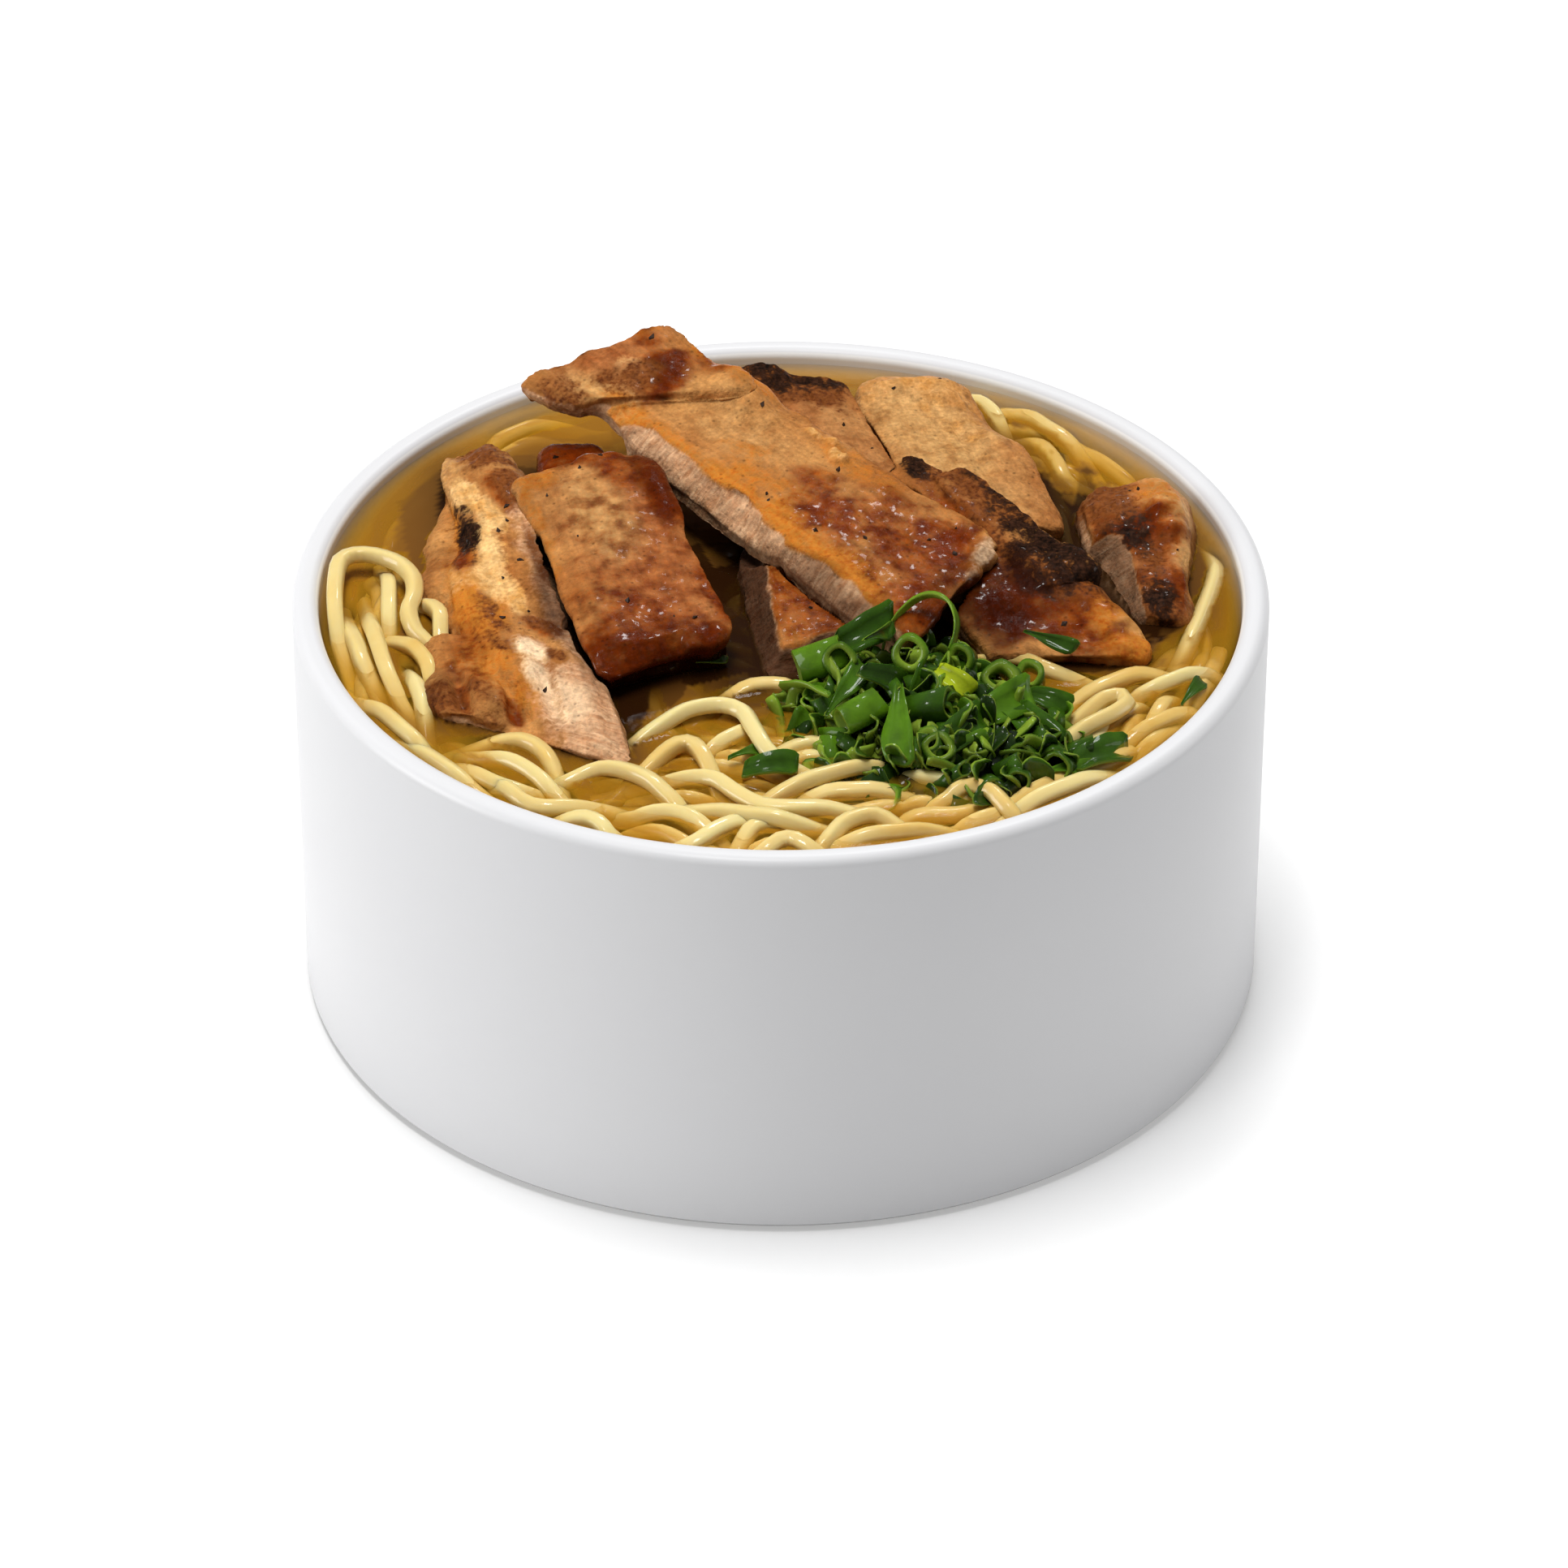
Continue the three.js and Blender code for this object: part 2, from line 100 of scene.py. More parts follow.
def linear(hexed):
    """An sRGB hex colour as linear red, green, blue and alpha."""
    def channel(shift):
        value = (hexed >> shift & 255) / 255
        return value / 12.92 if value <= 0.04045 else ((value + 0.055) / 1.055) ** 2.4
    return channel(16), channel(8), channel(0), 1.0


def node(tree, kind, inputs=None, **settings):
    """Adds a node: `inputs` maps a socket's name or number to a value or to another node's output."""
    made = tree.nodes.new(kind)
    for name, value in settings.items():
        setattr(made, name, value)
    for key, value in (inputs or {}).items():
        if isinstance(value, bpy.types.NodeSocket):
            tree.links.new(value, made.inputs[key])
        else:
            made.inputs[key].default_value = value
    return made


class Coat:
    """A new node material with one Principled shader, and short ways to add the nodes that several share."""

    def __init__(self, name):
        self.made = bpy.data.materials.new(name)
        self.made.use_nodes = True
        self.tree = self.made.node_tree
        self.place = node(self.tree, "ShaderNodeTexCoord").outputs["Object"]

    def attribute(self, name, output="Fac"):
        return node(self.tree, "ShaderNodeAttribute", attribute_name=name).outputs[output]

    def height(self):
        return node(self.tree, "ShaderNodeSeparateXYZ", {0: self.place}).outputs["Z"]

    def speckle(self, size, detail=3):
        """Noise in lumps about `size` mm wide."""
        return node(self.tree, "ShaderNodeTexNoise", {
            "Vector": self.place, "Scale": 1 / (size * MM), "Detail": detail}).outputs["Fac"]

    def grained(self, vector, stretch, **settings):
        """Noise drawn out along a vector in mm."""
        drawn = node(self.tree, "ShaderNodeMapping", {"Vector": vector, "Scale": stretch}).outputs[0]
        return node(self.tree, "ShaderNodeTexNoise", {"Vector": drawn, **settings}).outputs["Fac"]

    def blend(self, share, under, over, how="MIX"):
        return node(self.tree, "ShaderNodeMix", {"Factor": share, "A": under, "B": over},
                    data_type="RGBA", blend_type=how).outputs["Result"]

    def ranged(self, value, low=0.0, high=1.0, to_low=0.0, to_high=1.0, how="LINEAR"):
        return node(self.tree, "ShaderNodeMapRange", {
            "Value": value, "From Min": low, "From Max": high, "To Min": to_low, "To Max": to_high},
            interpolation_type=how).outputs[0]

    def maths(self, operation, *values, clamp=False):
        return node(self.tree, "ShaderNodeMath", dict(enumerate(values)),
                    operation=operation, use_clamp=clamp).outputs[0]

    def bump(self, height, strength, depth):
        """Fine relief, `depth` mm deep."""
        return node(self.tree, "ShaderNodeBump", {
            "Height": height, "Strength": strength, "Distance": depth * MM}).outputs["Normal"]

    def finish(self, **values):
        """Sets or links the shader's sockets; a name's underscores stand for spaces. Gives the material."""
        shader = self.tree.nodes["Principled BSDF"]
        for name, value in values.items():
            socket = shader.inputs[name.replace("_", " ")]
            if isinstance(value, bpy.types.NodeSocket):
                self.tree.links.new(value, socket)
            else:
                socket.default_value = value
        return self.made


def mesh_object(name, points, faces, coat, smooth=True):
    """A mesh object from points in mm."""
    mesh = bpy.data.meshes.new(name)
    mesh.from_pydata(np.asarray(points, float) * MM, [], faces)
    mesh.validate()
    made = bpy.data.objects.new(name, mesh)
    bpy.context.scene.collection.objects.link(made)
    if coat:
        mesh.materials.append(coat)
    mesh.shade_smooth() if smooth else mesh.shade_flat()
    return made


def paint(mesh, name, values, kind="FLOAT_COLOR"):
    """Stores one value, vector or colour for each point of a mesh."""
    field = {"FLOAT": "value", "FLOAT_VECTOR": "vector", "FLOAT_COLOR": "color"}[kind]
    held = mesh.attributes.new(name, kind, "POINT")
    held.data.foreach_set(field, np.ascontiguousarray(values, np.float32).ravel())


def points_of(mesh):
    """The points of a mesh, in mm."""
    held = np.empty(len(mesh.vertices) * 3, np.float32)
    mesh.vertices.foreach_get("co", held)
    return held.reshape(-1, 3).astype(float) / MM


def normals_of(mesh):
    """The normal at each point of a mesh."""
    held = np.empty(len(mesh.vertices) * 3, np.float32)
    mesh.vertex_normals.foreach_get("vector", held)
    return held.reshape(-1, 3).astype(float)


def move_points(mesh, points):
    """Puts the points of a mesh at new places in mm."""
    mesh.vertices.foreach_set("co", (points * MM).astype(np.float32).ravel())
    mesh.update()


def applied(made):
    """The object with its modifiers turned into a plain mesh."""
    bpy.context.view_layer.update()
    evaluated = made.evaluated_get(bpy.context.evaluated_depsgraph_get())
    mesh = bpy.data.meshes.new_from_object(evaluated)
    made.modifiers.clear()
    old = made.data
    plain = bpy.data.objects.new(made.name, mesh)
    label = made.name
    bpy.data.objects.remove(made)
    plain.name = label
    mesh.name = label
    bpy.context.scene.collection.objects.link(plain)
    if isinstance(old, bpy.types.Mesh) and not old.users:
        bpy.data.meshes.remove(old)
    return plain


def serve(made, slot, *nodes):
    """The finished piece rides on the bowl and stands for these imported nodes."""
    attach(made, BODY)
    if nodes:
        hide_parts(*nodes)


def noise(points, size, seed):
    """A smooth random field from -1 to 1 over points in mm, with lumps about `size` mm wide."""
    spot = np.asarray(points, float) / np.asarray(size, float)
    cell = np.floor(spot).astype(np.int64)
    part = spot - cell
    part = part ** 3 * (part * (part * 6 - 15) + 10)
    total = np.zeros(len(spot))
    for corner in np.ndindex(2, 2, 2):
        at = cell + corner
        mixed = at[:, 0] * 73856093 ^ at[:, 1] * 19349663 ^ at[:, 2] * 83492791 ^ seed * 2654435761
        mixed &= 0xFFFFFFFF
        mixed = (mixed ^ mixed >> 15) * 2246822519 & 0xFFFFFFFF
        mixed = (mixed ^ mixed >> 13) * 3266489917 & 0xFFFFFFFF
        value = (mixed ^ mixed >> 16) / 0x7FFFFFFF - 1
        weight = np.prod(np.where(corner, part, 1 - part), axis=1)
        total += weight * value
    return total


def rough_noise(points, size, seed, octaves=3):
    """Noise of several sizes added up, each half as wide and half as strong."""
    layers = [noise(points, np.asarray(size, float) / 2 ** i, seed + i) / 2 ** i for i in range(octaves)]
    return sum(layers) / sum(0.5 ** i for i in range(octaves))


def smoothstep(low, high, value):
    """0 at `low`, 1 at `high`, and smooth between."""
    share = np.clip((value - low) / (high - low), 0, 1)
    return share * share * (3 - 2 * share)


# Settings

class BowlSettings(bpy.types.PropertyGroup):
    glaze: bpy.props.FloatVectorProperty(
        name="Glaze", description="Colour of the glazed porcelain", subtype="COLOR", size=4,
        min=0, max=1, default=linear(0xD8D8D9))
    steps: bpy.props.IntProperty(
        name="Steps round", description="Faces round the bowl", default=192, min=48, max=360)


class BrothSettings(bpy.types.PropertyGroup):
    colour: bpy.props.FloatVectorProperty(
        name="Colour", description="Colour of deep broth", subtype="COLOR", size=4,
        min=0, max=1, default=linear(0x74481A))
    clarity: bpy.props.FloatProperty(
        name="Clarity", description="Depth at which two thirds of what lies in the broth is hidden",
        default=6 * MM, min=0.5 * MM, max=20 * MM, unit="LENGTH")


class NoodleSettings(bpy.types.PropertyGroup):
    width: bpy.props.FloatProperty(
        name="Width", description="Width of one noodle", default=2.65 * MM, min=1 * MM, max=6 * MM,
        unit="LENGTH")
    colour: bpy.props.FloatVectorProperty(
        name="Colour", description="Colour of a cooked noodle", subtype="COLOR", size=4,
        min=0, max=1, default=linear(0xE4D496))
    loose: bpy.props.IntProperty(
        name="Loose strands", description="Strands laid at random under those that show",
        default=125, min=0, max=240)
    seed: bpy.props.IntProperty(name="Seed", description="Draw of the loose strands", default=4)


class ChickenSettings(bpy.types.PropertyGroup):
    grain: bpy.props.FloatProperty(
        name="Mesh grain", description="Size of the faces of a slice", default=0.37 * MM,
        min=0.2 * MM, max=2 * MM, unit="LENGTH")
    relief: bpy.props.FloatProperty(
        name="Relief", description="Strength of the pits, fibres and crags", default=1, min=0, max=3,
        subtype="FACTOR")
    pepper: bpy.props.IntProperty(
        name="Pepper", description="Flakes of pepper on the slices", default=46, min=0, max=600)


class OnionSettings(bpy.types.PropertyGroup):
    rings: bpy.props.IntProperty(
        name="Rings", description="Cut rings and slivers on the mound", default=250, min=0, max=600)
    seed: bpy.props.IntProperty(name="Seed", description="Draw of the rings", default=5)


class StageSettings(bpy.types.PropertyGroup):
    elevation: bpy.props.FloatProperty(
        name="Elevation", description="Angle of the camera over the table",
        default=math.radians(33.9), subtype="ANGLE")
    distance: bpy.props.FloatProperty(
        name="Distance", description="From the camera to the middle of the bowl", default=1.2,
        unit="LENGTH")
    lens: bpy.props.FloatProperty(
        name="Lens", description="Focal length in millimetres", default=165.2, min=10, max=400)
    target: bpy.props.FloatVectorProperty(
        name="Target", description="Point that the camera looks at", subtype="TRANSLATION",
        default=(0.57 * MM, 0, 32.7 * MM))


# Bowl

def arc(x, y, radius, start, end, steps):
    """Points of an arc in a section, its angles in degrees."""
    angles = np.radians(np.linspace(start, end, steps + 1))
    return [(x + radius * math.cos(a), y + radius * math.sin(a)) for a in angles]


def ring_faces(rings, steps):
    """Faces of a closed skin: pole 0, rings of `steps` points from point 2 on, and pole 1 after the last."""
    start = [2 + i * steps for i in range(rings)]
    faces = []
    for j in range(steps):
        k = (j + 1) % steps
        faces += [(0, start[0] + j, start[0] + k), (1, start[-1] + k, start[-1] + j)]
        faces += [(a + j, b + j, b + k, a + k) for a, b in zip(start, start[1:])]
    return faces


def ring(radius, height, steps):
    """Points of a level circle."""
    angles = np.linspace(0, 2 * math.pi, steps, endpoint=False)
    return [(radius * math.cos(a), radius * math.sin(a), height) for a in angles]


def lathe(name, profile, steps, coat):
    """Turns a section of (radius, height) points about the vertical axis; its two ends are poles."""
    rings = [ring(*spot, steps) for spot in profile[1:-1]]
    points = [(0, 0, profile[0][1]), (0, 0, profile[-1][1])] + [p for held in rings for p in held]
    # The section starts under the bowl, so its faces turn the other way.
    faces = [face[:1] + face[:0:-1] for face in ring_faces(len(rings), steps)]
    return mesh_object(name, points, faces, coat)


def glazed_porcelain(colour):
    """Slip-cast porcelain under a clear glaze: near white, softly glossy, with a faint waviness."""
    coat = Coat("glazed_porcelain")
    # The glaze pools and thins over some 30 mm, which shifts its white a little.
    cloud = coat.speckle(30, 2)
    tint = coat.blend(cloud, colour, linear(0xD8D8DA))
    # Painted light: the inside is painted whiter, to lift the inner wall.
    tint = coat.blend(coat.attribute("inside"), tint, linear(0xF0F0EE))
    # A thin dark grey line of painted contact shadow runs round the foot, where the bowl meets the table.
    bare = coat.ranged(coat.height(), 1.6 * MM, 1.1 * MM, how="SMOOTHSTEP")
    tint_with_base_shadow = coat.blend(bare, tint, linear(0x5C5A57))
    # Orange peel of about 3 mm, so shallow that only the gloss shows it.
    peel = coat.bump(coat.speckle(3, 1), 0.15, 0.04)
    return coat.finish(Base_Color=tint_with_base_shadow, Roughness=coat.ranged(cloud, 0, 1, 0.3, 0.42), Normal=peel, IOR=1.5)


class SOUP_OT_bowl(bpy.types.Operator):
    """Turns the straight-sided porcelain bowl"""
    bl_idname = "soup.bowl"
    bl_label = "Bowl"

    def execute(self, context):
        settings = context.scene.soup_bowl
        foot_inside = FOOT_RADIUS - FOOT_WIDTH
        low, high = BASE_ROUND + FOOT_HEIGHT, BOWL_HEIGHT - LIP_ROUND
        profile = [
            (0, FOOT_RECESS), (30, FOOT_RECESS), (foot_inside - FOOT_RECESS, FOOT_RECESS),
            *arc(foot_inside - 1, 1, 1, 135, 225, 2), (foot_inside, 0), (FOOT_RADIUS - 0.3, 0),
            (FOOT_RADIUS, 0.3), (FOOT_RADIUS, FOOT_HEIGHT - 0.1),
            *arc(BOWL_RADIUS - BASE_ROUND, low, BASE_ROUND, -80, 0, 6),
            (BOWL_RADIUS, 24), (BOWL_RADIUS, 48),
            *arc(BOWL_RADIUS - LIP_ROUND, high, LIP_ROUND, 0, 90, 10),
            *arc(CAVITY_RADIUS + LIP_ROUND, high, LIP_ROUND, 90, 180, 10),
            (CAVITY_RADIUS, 50), (CAVITY_RADIUS, 35),
            *arc(CAVITY_RADIUS - CAVITY_CORNER, FLOOR + CAVITY_CORNER, CAVITY_CORNER, 0, -90, 12),
            (0, FLOOR),
        ]
        bowl = lathe("bowl_body", profile, settings.steps, glazed_porcelain(tuple(settings.glaze)))
        points = points_of(bowl.data)
        # Marks the inner wall, which the material paints whiter as painted light.
        inside = (np.hypot(points[:, 0], points[:, 1]) < CAVITY_RADIUS + 0.5) & (points[:, 2] > FLOOR - 1)
        paint(bowl.data, "inside", inside.astype(float), "FLOAT")
        serve(bowl, "bowl", "bowl")
        return {"FINISHED"}


# Noodles

# The strands that show, as laid: places in mm, `over`, how high the middle line lies over the broth,
# and `arch`, how much more the middle of the strand lifts.
STRANDS = [
    ([(-70.5, -16), (-72.6, -9.4), (-73.4, -2), (-73, 4.7), (-71.5, 8), (-68.6, 8.8), (-65.2, 7.7),
      (-62.3, 5.5), (-60.2, 1.5), (-59.9, -3), (-60.6, -7.1), (-59.4, -10.9), (-56.7, -13.7),
      (-55, -18)], 0.6, 3.4),
    ([(-65.3, 9.2), (-64.4, 3.8), (-64, -3.4), (-63.7, -8.9)], 1, 0.8),
    ([(-67.6, -1.3), (-66.8, -8), (-65.2, -15.5), (-63.4, -23), (-60.9, -29.5), (-59.2, -32.8)], 1.4, 0.8),
    ([(-71.1, -3.3), (-70.1, -9.6), (-68.6, -15.2), (-67.7, -19), (-65, -25)], 0.4, 0.6),
    ([(-64.6, -11), (-62.4, -13.4), (-59.6, -16), (-57.4, -20), (-56.3, -23.8), (-55.5, -28)], 1, 1),
    ([(-58.8, -2), (-57, -4.6), (-55.6, -7), (-55.3, -11)], 1.4, 1.2),
    ([(-60, -21), (-58.6, -26), (-57.5, -30.2), (-56.8, -35)], 0.4, 0.5),
    ([(-68.5, -28.5), (-66.7, -31.1), (-63.9, -33.9), (-60.5, -38.8), (-57.7, -42.8),
      (-54.7, -46.6)], 0.8, 0.5),
    ([(-62.5, -37), (-58.1, -43.4), (-53.4, -48.8), (-48.8, -53.8), (-44, -57)], 0.1, 0.3),
    ([(-51.7, -46.4), (-46.3, -52.6), (-41.1, -55.6), (-35, -56)], -0.1, 0.3),
    ([(-50, -41.5), (-44.1, -41.6), (-40.2, -42.8), (-37.5, -46), (-35.5, -51), (-34.2, -56)], 0.4, 0.6),
    ([(-49, -43.5), (-45.2, -45.7), (-40, -50.4), (-36, -55.6), (-32.4, -59.5)], 0.6, 0.4),
    ([(-47, -51), (-43.7, -55), (-40.3, -59.6), (-37.1, -61.3), (-30.7, -60.7), (-25, -60.1)], 0.6, 0.4),
    ([(-36.5, -53.5), (-33.2, -52.5), (-28.4, -50.7), (-22.6, -53), (-18, -57.6), (-14.5, -61.5)], 1.4, 0.6),
    ([(-23.5, -51.6), (-20.7, -49.3), (-16.3, -45.2), (-13.7, -45.5), (-11.1, -50.7),
      (-9.5, -55)], 1.2, 1.2),
    ([(-23, -52.6), (-19.4, -52.2), (-14.9, -52.2), (-10.4, -53.9), (-6.6, -58.5), (-2.7, -61.9),
      (2.3, -62.5), (7.4, -61.9), (13.8, -62.5), (18.9, -63.4)], 1.6, 0.4),
    ([(-25, -42.5), (-22.8, -40.6), (-18.3, -37.6), (-13.8, -34.9), (-9.3, -34.1), (-6, -36.1),
      (-4.1, -41.2), (-2.1, -46.1), (1.1, -48.7), (6.8, -51)], 1.8, 1),
    ([(-3.6, -59.2), (-2.1, -58.2), (2.4, -55.9), (7.5, -53.6), (12, -51.3), (18, -48)], 1.8, 0.8),
    ([(-21, -58), (-18, -59.3), (-13.6, -61.6), (-7.8, -62.7), (-2.7, -64.9), (3.6, -66.1),
      (10, -64.5)], 0.8, 0.4),
    ([(4, -57.4), (7.5, -57), (11.3, -57), (19, -56.2)], 0.9, 0.5),
    ([(-25, -61), (-22.5, -61.5), (-16.7, -62.1), (-12.9, -64.3), (-9.5, -67.5)], 0.1, 0.4),
    ([(-17.5, -71), (-12.8, -70), (-9.7, -67.2), (-6.5, -64.9), (-2.5, -63)], 0.5, 0.4),
    ([(-34.5, -63.6), (-29.4, -64.9), (-26, -69)], 0.5, 0.5),
    ([(-7, -71.2), (-4, -66.3), (-0.2, -65.2), (4.5, -66)], 0, 0.5),
    ([(6.6, -70), (10.6, -65.6), (15, -63.8), (19.5, -66)], 1.2, 0.5),
    ([(7.5, -70.4), (13.7, -68.9), (20.1, -67.8), (27.5, -66)], 0.8, 0.4),
    ([(-3, -73), (1.1, -70.2), (5.6, -72.6)], 0.7, 0.5),
    ([(24.4, -58.6), (26.5, -57.4), (28.8, -55.9), (32.4, -57), (34.8, -60.4), (37.4, -63.5)], 0.8, 1),
    ([(33.5, -64), (36.4, -61.8), (41.9, -57.9), (47.1, -54.4), (53.4, -49.2)], 1, 0.5),
    ([(40, -48.4), (45.6, -42.9), (49.5, -39.4), (53.2, -36.3), (55.4, -33.4), (54.8, -31.4), (52, -31.8),
      (48, -35.4), (43, -39.6)], 1.4, 1.2),
    ([(30.5, -15.8), (33.3, -17), (39.1, -18.8), (43.6, -22.4), (51, -24.2)], 0.8, 0.7),
    ([(44.6, -32), (52, -27), (57.3, -23.6), (63.5, -21.6)], 1, 0.5),
    ([(58, -26.8), (61.4, -25.6), (64.5, -23.6), (68.5, -21)], 0.5, 0.4),
    ([(55, -40.2), (60.7, -36.1), (66.6, -31.4)], 0, 0.3),
    ([(-9, -28), (-4.5, -26), (0.5, -25.8), (5, -28)], 0.1, 0.4),
    ([(-11.6, -43.6), (-7.3, -40), (-4, -37)], 0, 0.3),
    ([(71.6, 21), (71.8, 10), (69.9, 0.6), (66.4, -11.5), (62.4, -21)], -0.9, 0.3),
    ([(28, 66), (31.3, 65.2), (34.1, 64.2), (36.5, 60.5), (38.4, 54.5)], -1, 0.4),
    ([(34, 66.6), (37.5, 65.6), (41, 62), (45.6, 55.6), (49.4, 51.3), (53, 45)], -1, 0.3),
    ([(37.6, 54), (42.1, 52.6), (44.8, 49.6), (46.7, 44.8), (47.9, 40.4), (50.3, 38.5),
      (54, 38.2)], -1.6, 0.3),
    ([(-51, 50.5), (-47, 56), (-42, 59.4), (-36, 61.5)], -3.4, 0.3),
    ([(-52, 42), (-48, 48), (-43, 53.6), (-37, 56.4)], -3.8, 0.3),
]
# In mm: how far apart a strand's points lie, how deep its ends dip, how far they run on past the points
# given, how far out it may lie, and over what length its ends grow thin.
STRAND_STEP = 1.3
STRAND_DIP = 5
STRAND_EXTRA = 7
STRAND_REACH = 72.9
END_TAPER = 2.4
# The core lies this deep in mm, in front and behind, and is this wide at its top and its foot.
CORE_DEPTH = (5.5, 9)
CORE_RADIUS = 71
CORE_FOOT = 62
# Within MEAT_MARGIN of a slice, loose strands stay MEAT_DEPTH under the surface.
MEAT_MARGIN = 9
MEAT_DEPTH = 3.4


def catmull_rom(points, step):
    """A smooth line through points, with a place about every `step` mm."""
    points = np.asarray(points, float)
    held = np.vstack([2 * points[0] - points[1], points, 2 * points[-1] - points[-2]])
    line = []
    for a, b, c, d in zip(held, held[1:], held[2:], held[3:]):
        count = max(int(np.linalg.norm(c - b) / step), 1)
        t = np.linspace(0, 1, count, endpoint=False)[:, None]
        line.append(0.5 * (2 * b + (c - a) * t + (2 * a - 5 * b + 4 * c - d) * t ** 2
                           + (3 * b - a - 3 * c + d) * t ** 3))
    return np.vstack([*line, points[-1:]])


def shown_strand(path, over, arch):
    """One of the strands that show, run on at both ends and dipped into the broth there."""
    spots = np.array([(x, y, 0.0) for x, y in path])
    first, last = spots[0] - spots[1], spots[-1] - spots[-2]
    spots = np.vstack([spots[0] + first * STRAND_EXTRA / np.linalg.norm(first), spots,
                       spots[-1] + last * STRAND_EXTRA / np.linalg.norm(last)])
    line = catmull_rom(spots, STRAND_STEP)
    reach = np.linalg.norm(line[:, :2], axis=1, keepdims=True)
    line[:, :2] *= np.minimum(1, STRAND_REACH / reach)
    share = np.linspace(0, 1, len(line))
    line[:, 2] = SURFACE + 0.7 * over - 0.45 + arch * np.sin(math.pi * share) - STRAND_DIP * near_end(line)
    return line


def near_end(line, reach=19):
    """How close each place is to an end of its strand, 1 at the end and 0 from `reach` mm on."""
    steps = np.arange(len(line))
    reach = min(reach, 0.42 * len(line) * STRAND_STEP)
    return 1 - smoothstep(0, reach, np.minimum(steps, steps[::-1]) * STRAND_STEP)


# Where loose strands lie: from and to as turns from +X in degrees, nearest and furthest from the
# middle in mm, and their share.
LOTS = [
    ((186, 350), (42, 71.5), 0.64), ((300, 378), (56, 72), 0.1), ((34, 78), (47, 71), 0.14),
    ((118, 152), (60, 71), 0.03), ((200, 340), (8, 44), 0.09),
]
LEAST_DEPTH = 0.5
MOST_DEPTH = 6


def loose_strand(random, depth):
    """A strand that wanders round the bowl at a depth under the surface, its ends sunk."""
    turns, reach, _ = LOTS[random.choice(len(LOTS), p=[share for _, _, share in LOTS])]
    length = random.uniform(46, 96)
    along = np.arange(0, length, STRAND_STEP) - length / 2
    radius = np.full(len(along), random.uniform(*reach)) + random.normal(0, 0.09) * along
    for _ in range(2):
        wave, start, size = random.uniform(18, 60), random.uniform(0, 2 * math.pi), random.uniform(0.4, 2.2)
        radius += size * np.sin(2 * math.pi * along / wave + start)
    # The wall turns a strand back without a corner.
    radius = -1.3 * np.logaddexp(-radius / 1.3, -STRAND_REACH / 1.3)
    turn = math.radians(random.uniform(*turns)) + along / max(radius.mean(), 12)
    ends = length / 2 - np.abs(along)
    height = SURFACE - depth + 0.5 * np.sin(along / random.uniform(5, 11) + random.uniform(0, 6))
    height -= 4 * (1 - smoothstep(0, 11, ends))
    return np.stack([radius * np.cos(turn), radius * np.sin(turn), height], -1)


def soften(values, steps):
    """Evens out a row of values, in place, but for its ends."""
    for _ in range(steps):
        values[1:-1] = (values[:-2] + 2 * values[1:-1] + values[2:]) / 4
    return values


def rest_on(line, below, gap):
    """Lifts a strand over those laid before it, all but its ends, which sink in among them."""
    if not len(below):
        return line
    lifted = line[:, 2].copy()
    for i, spot in enumerate(line):
        away = ((below[:, :2] - spot[:2]) ** 2).sum(1)
        near = away < gap ** 2
        if near.any():
            needed = below[near, 2] + np.sqrt(gap ** 2 - away[near])
            near_height = needed[below[near, 2] <= spot[2] + gap * 0.5]
            if len(near_height):
                lifted[i] = max(lifted[i], near_height.max())
    lifted = np.maximum(soften(lifted.copy(), 4), line[:, 2])
    line[:, 2] += (lifted - line[:, 2]) * (1 - near_end(line, 14))
    return line


def keep_under(line, roof, clear):
    """Presses a strand down `clear` mm under what lies on it, and deeper all round it."""
    for spot in line:
        hit = roof.ray_cast(Vector((spot[0] * MM, spot[1] * MM, 0.03)), Vector((0, 0, 1)))[0]
        if hit is not None:
            spot[2] = min(spot[2], hit.z / MM - clear)
        if roof.find_nearest(Vector(spot * MM), MEAT_MARGIN * MM)[0] is not None:
            spot[2] = min(spot[2], SURFACE - MEAT_DEPTH)
    line[:, 2] = soften(line[:, 2], 2)
    return line


def search_tree(meshes):
    """One search tree over meshes, in metres."""
    points, faces = [], []
    for mesh in meshes:
        start = len(points)
        points += [v.co.copy() for v in mesh.vertices]
        faces += [tuple(start + i for i in p.vertices) for p in mesh.polygons]
    return BVHTree.FromPolygons(points, faces)


def packed_meat():
    """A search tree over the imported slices."""
    return search_tree(frame["nodes"][name].data for name in sorted(SLICES))


def press_under(line, above, gap):
    """Presses a strand down under those already laid near its own height."""
    pressed = line[:, 2].copy()
    for i, spot in enumerate(line):
        away = ((above[:, :2] - spot[:2]) ** 2).sum(1)
        near = (away < gap ** 2) & (above[:, 2] > spot[2] - gap * 0.7)
        if near.any():
            pressed[i] = min(pressed[i], (above[near, 2] - np.sqrt(gap ** 2 - away[near])).min())
    line[:, 2] = np.minimum(soften(pressed.copy(), 5), soften(pressed, 1))
    return line


def laid_strands(settings):
    """Every strand's middle line: those that show, and loose ones pressed in under them."""
    random = np.random.default_rng(settings.seed)
    width = settings.width / MM
    roof = packed_meat()
    finished = []
    laid = np.empty((0, 3))
    for line in sorted((shown_strand(*strand) for strand in STRANDS), key=lambda held: held[:, 2].mean()):
        line = rest_on(line, laid, width * 0.68)
        laid = np.vstack([laid, line])
        finished.append(line)
    depths = LEAST_DEPTH + (MOST_DEPTH - LEAST_DEPTH) * random.uniform(0, 1, settings.loose) ** 1.5
    for depth in sorted(depths):
        line = keep_under(loose_strand(random, depth), roof, width * 0.6)
        line = press_under(line, laid, width * 0.8)
        laid = np.vstack([laid, line])
        finished.append(line)
    return finished


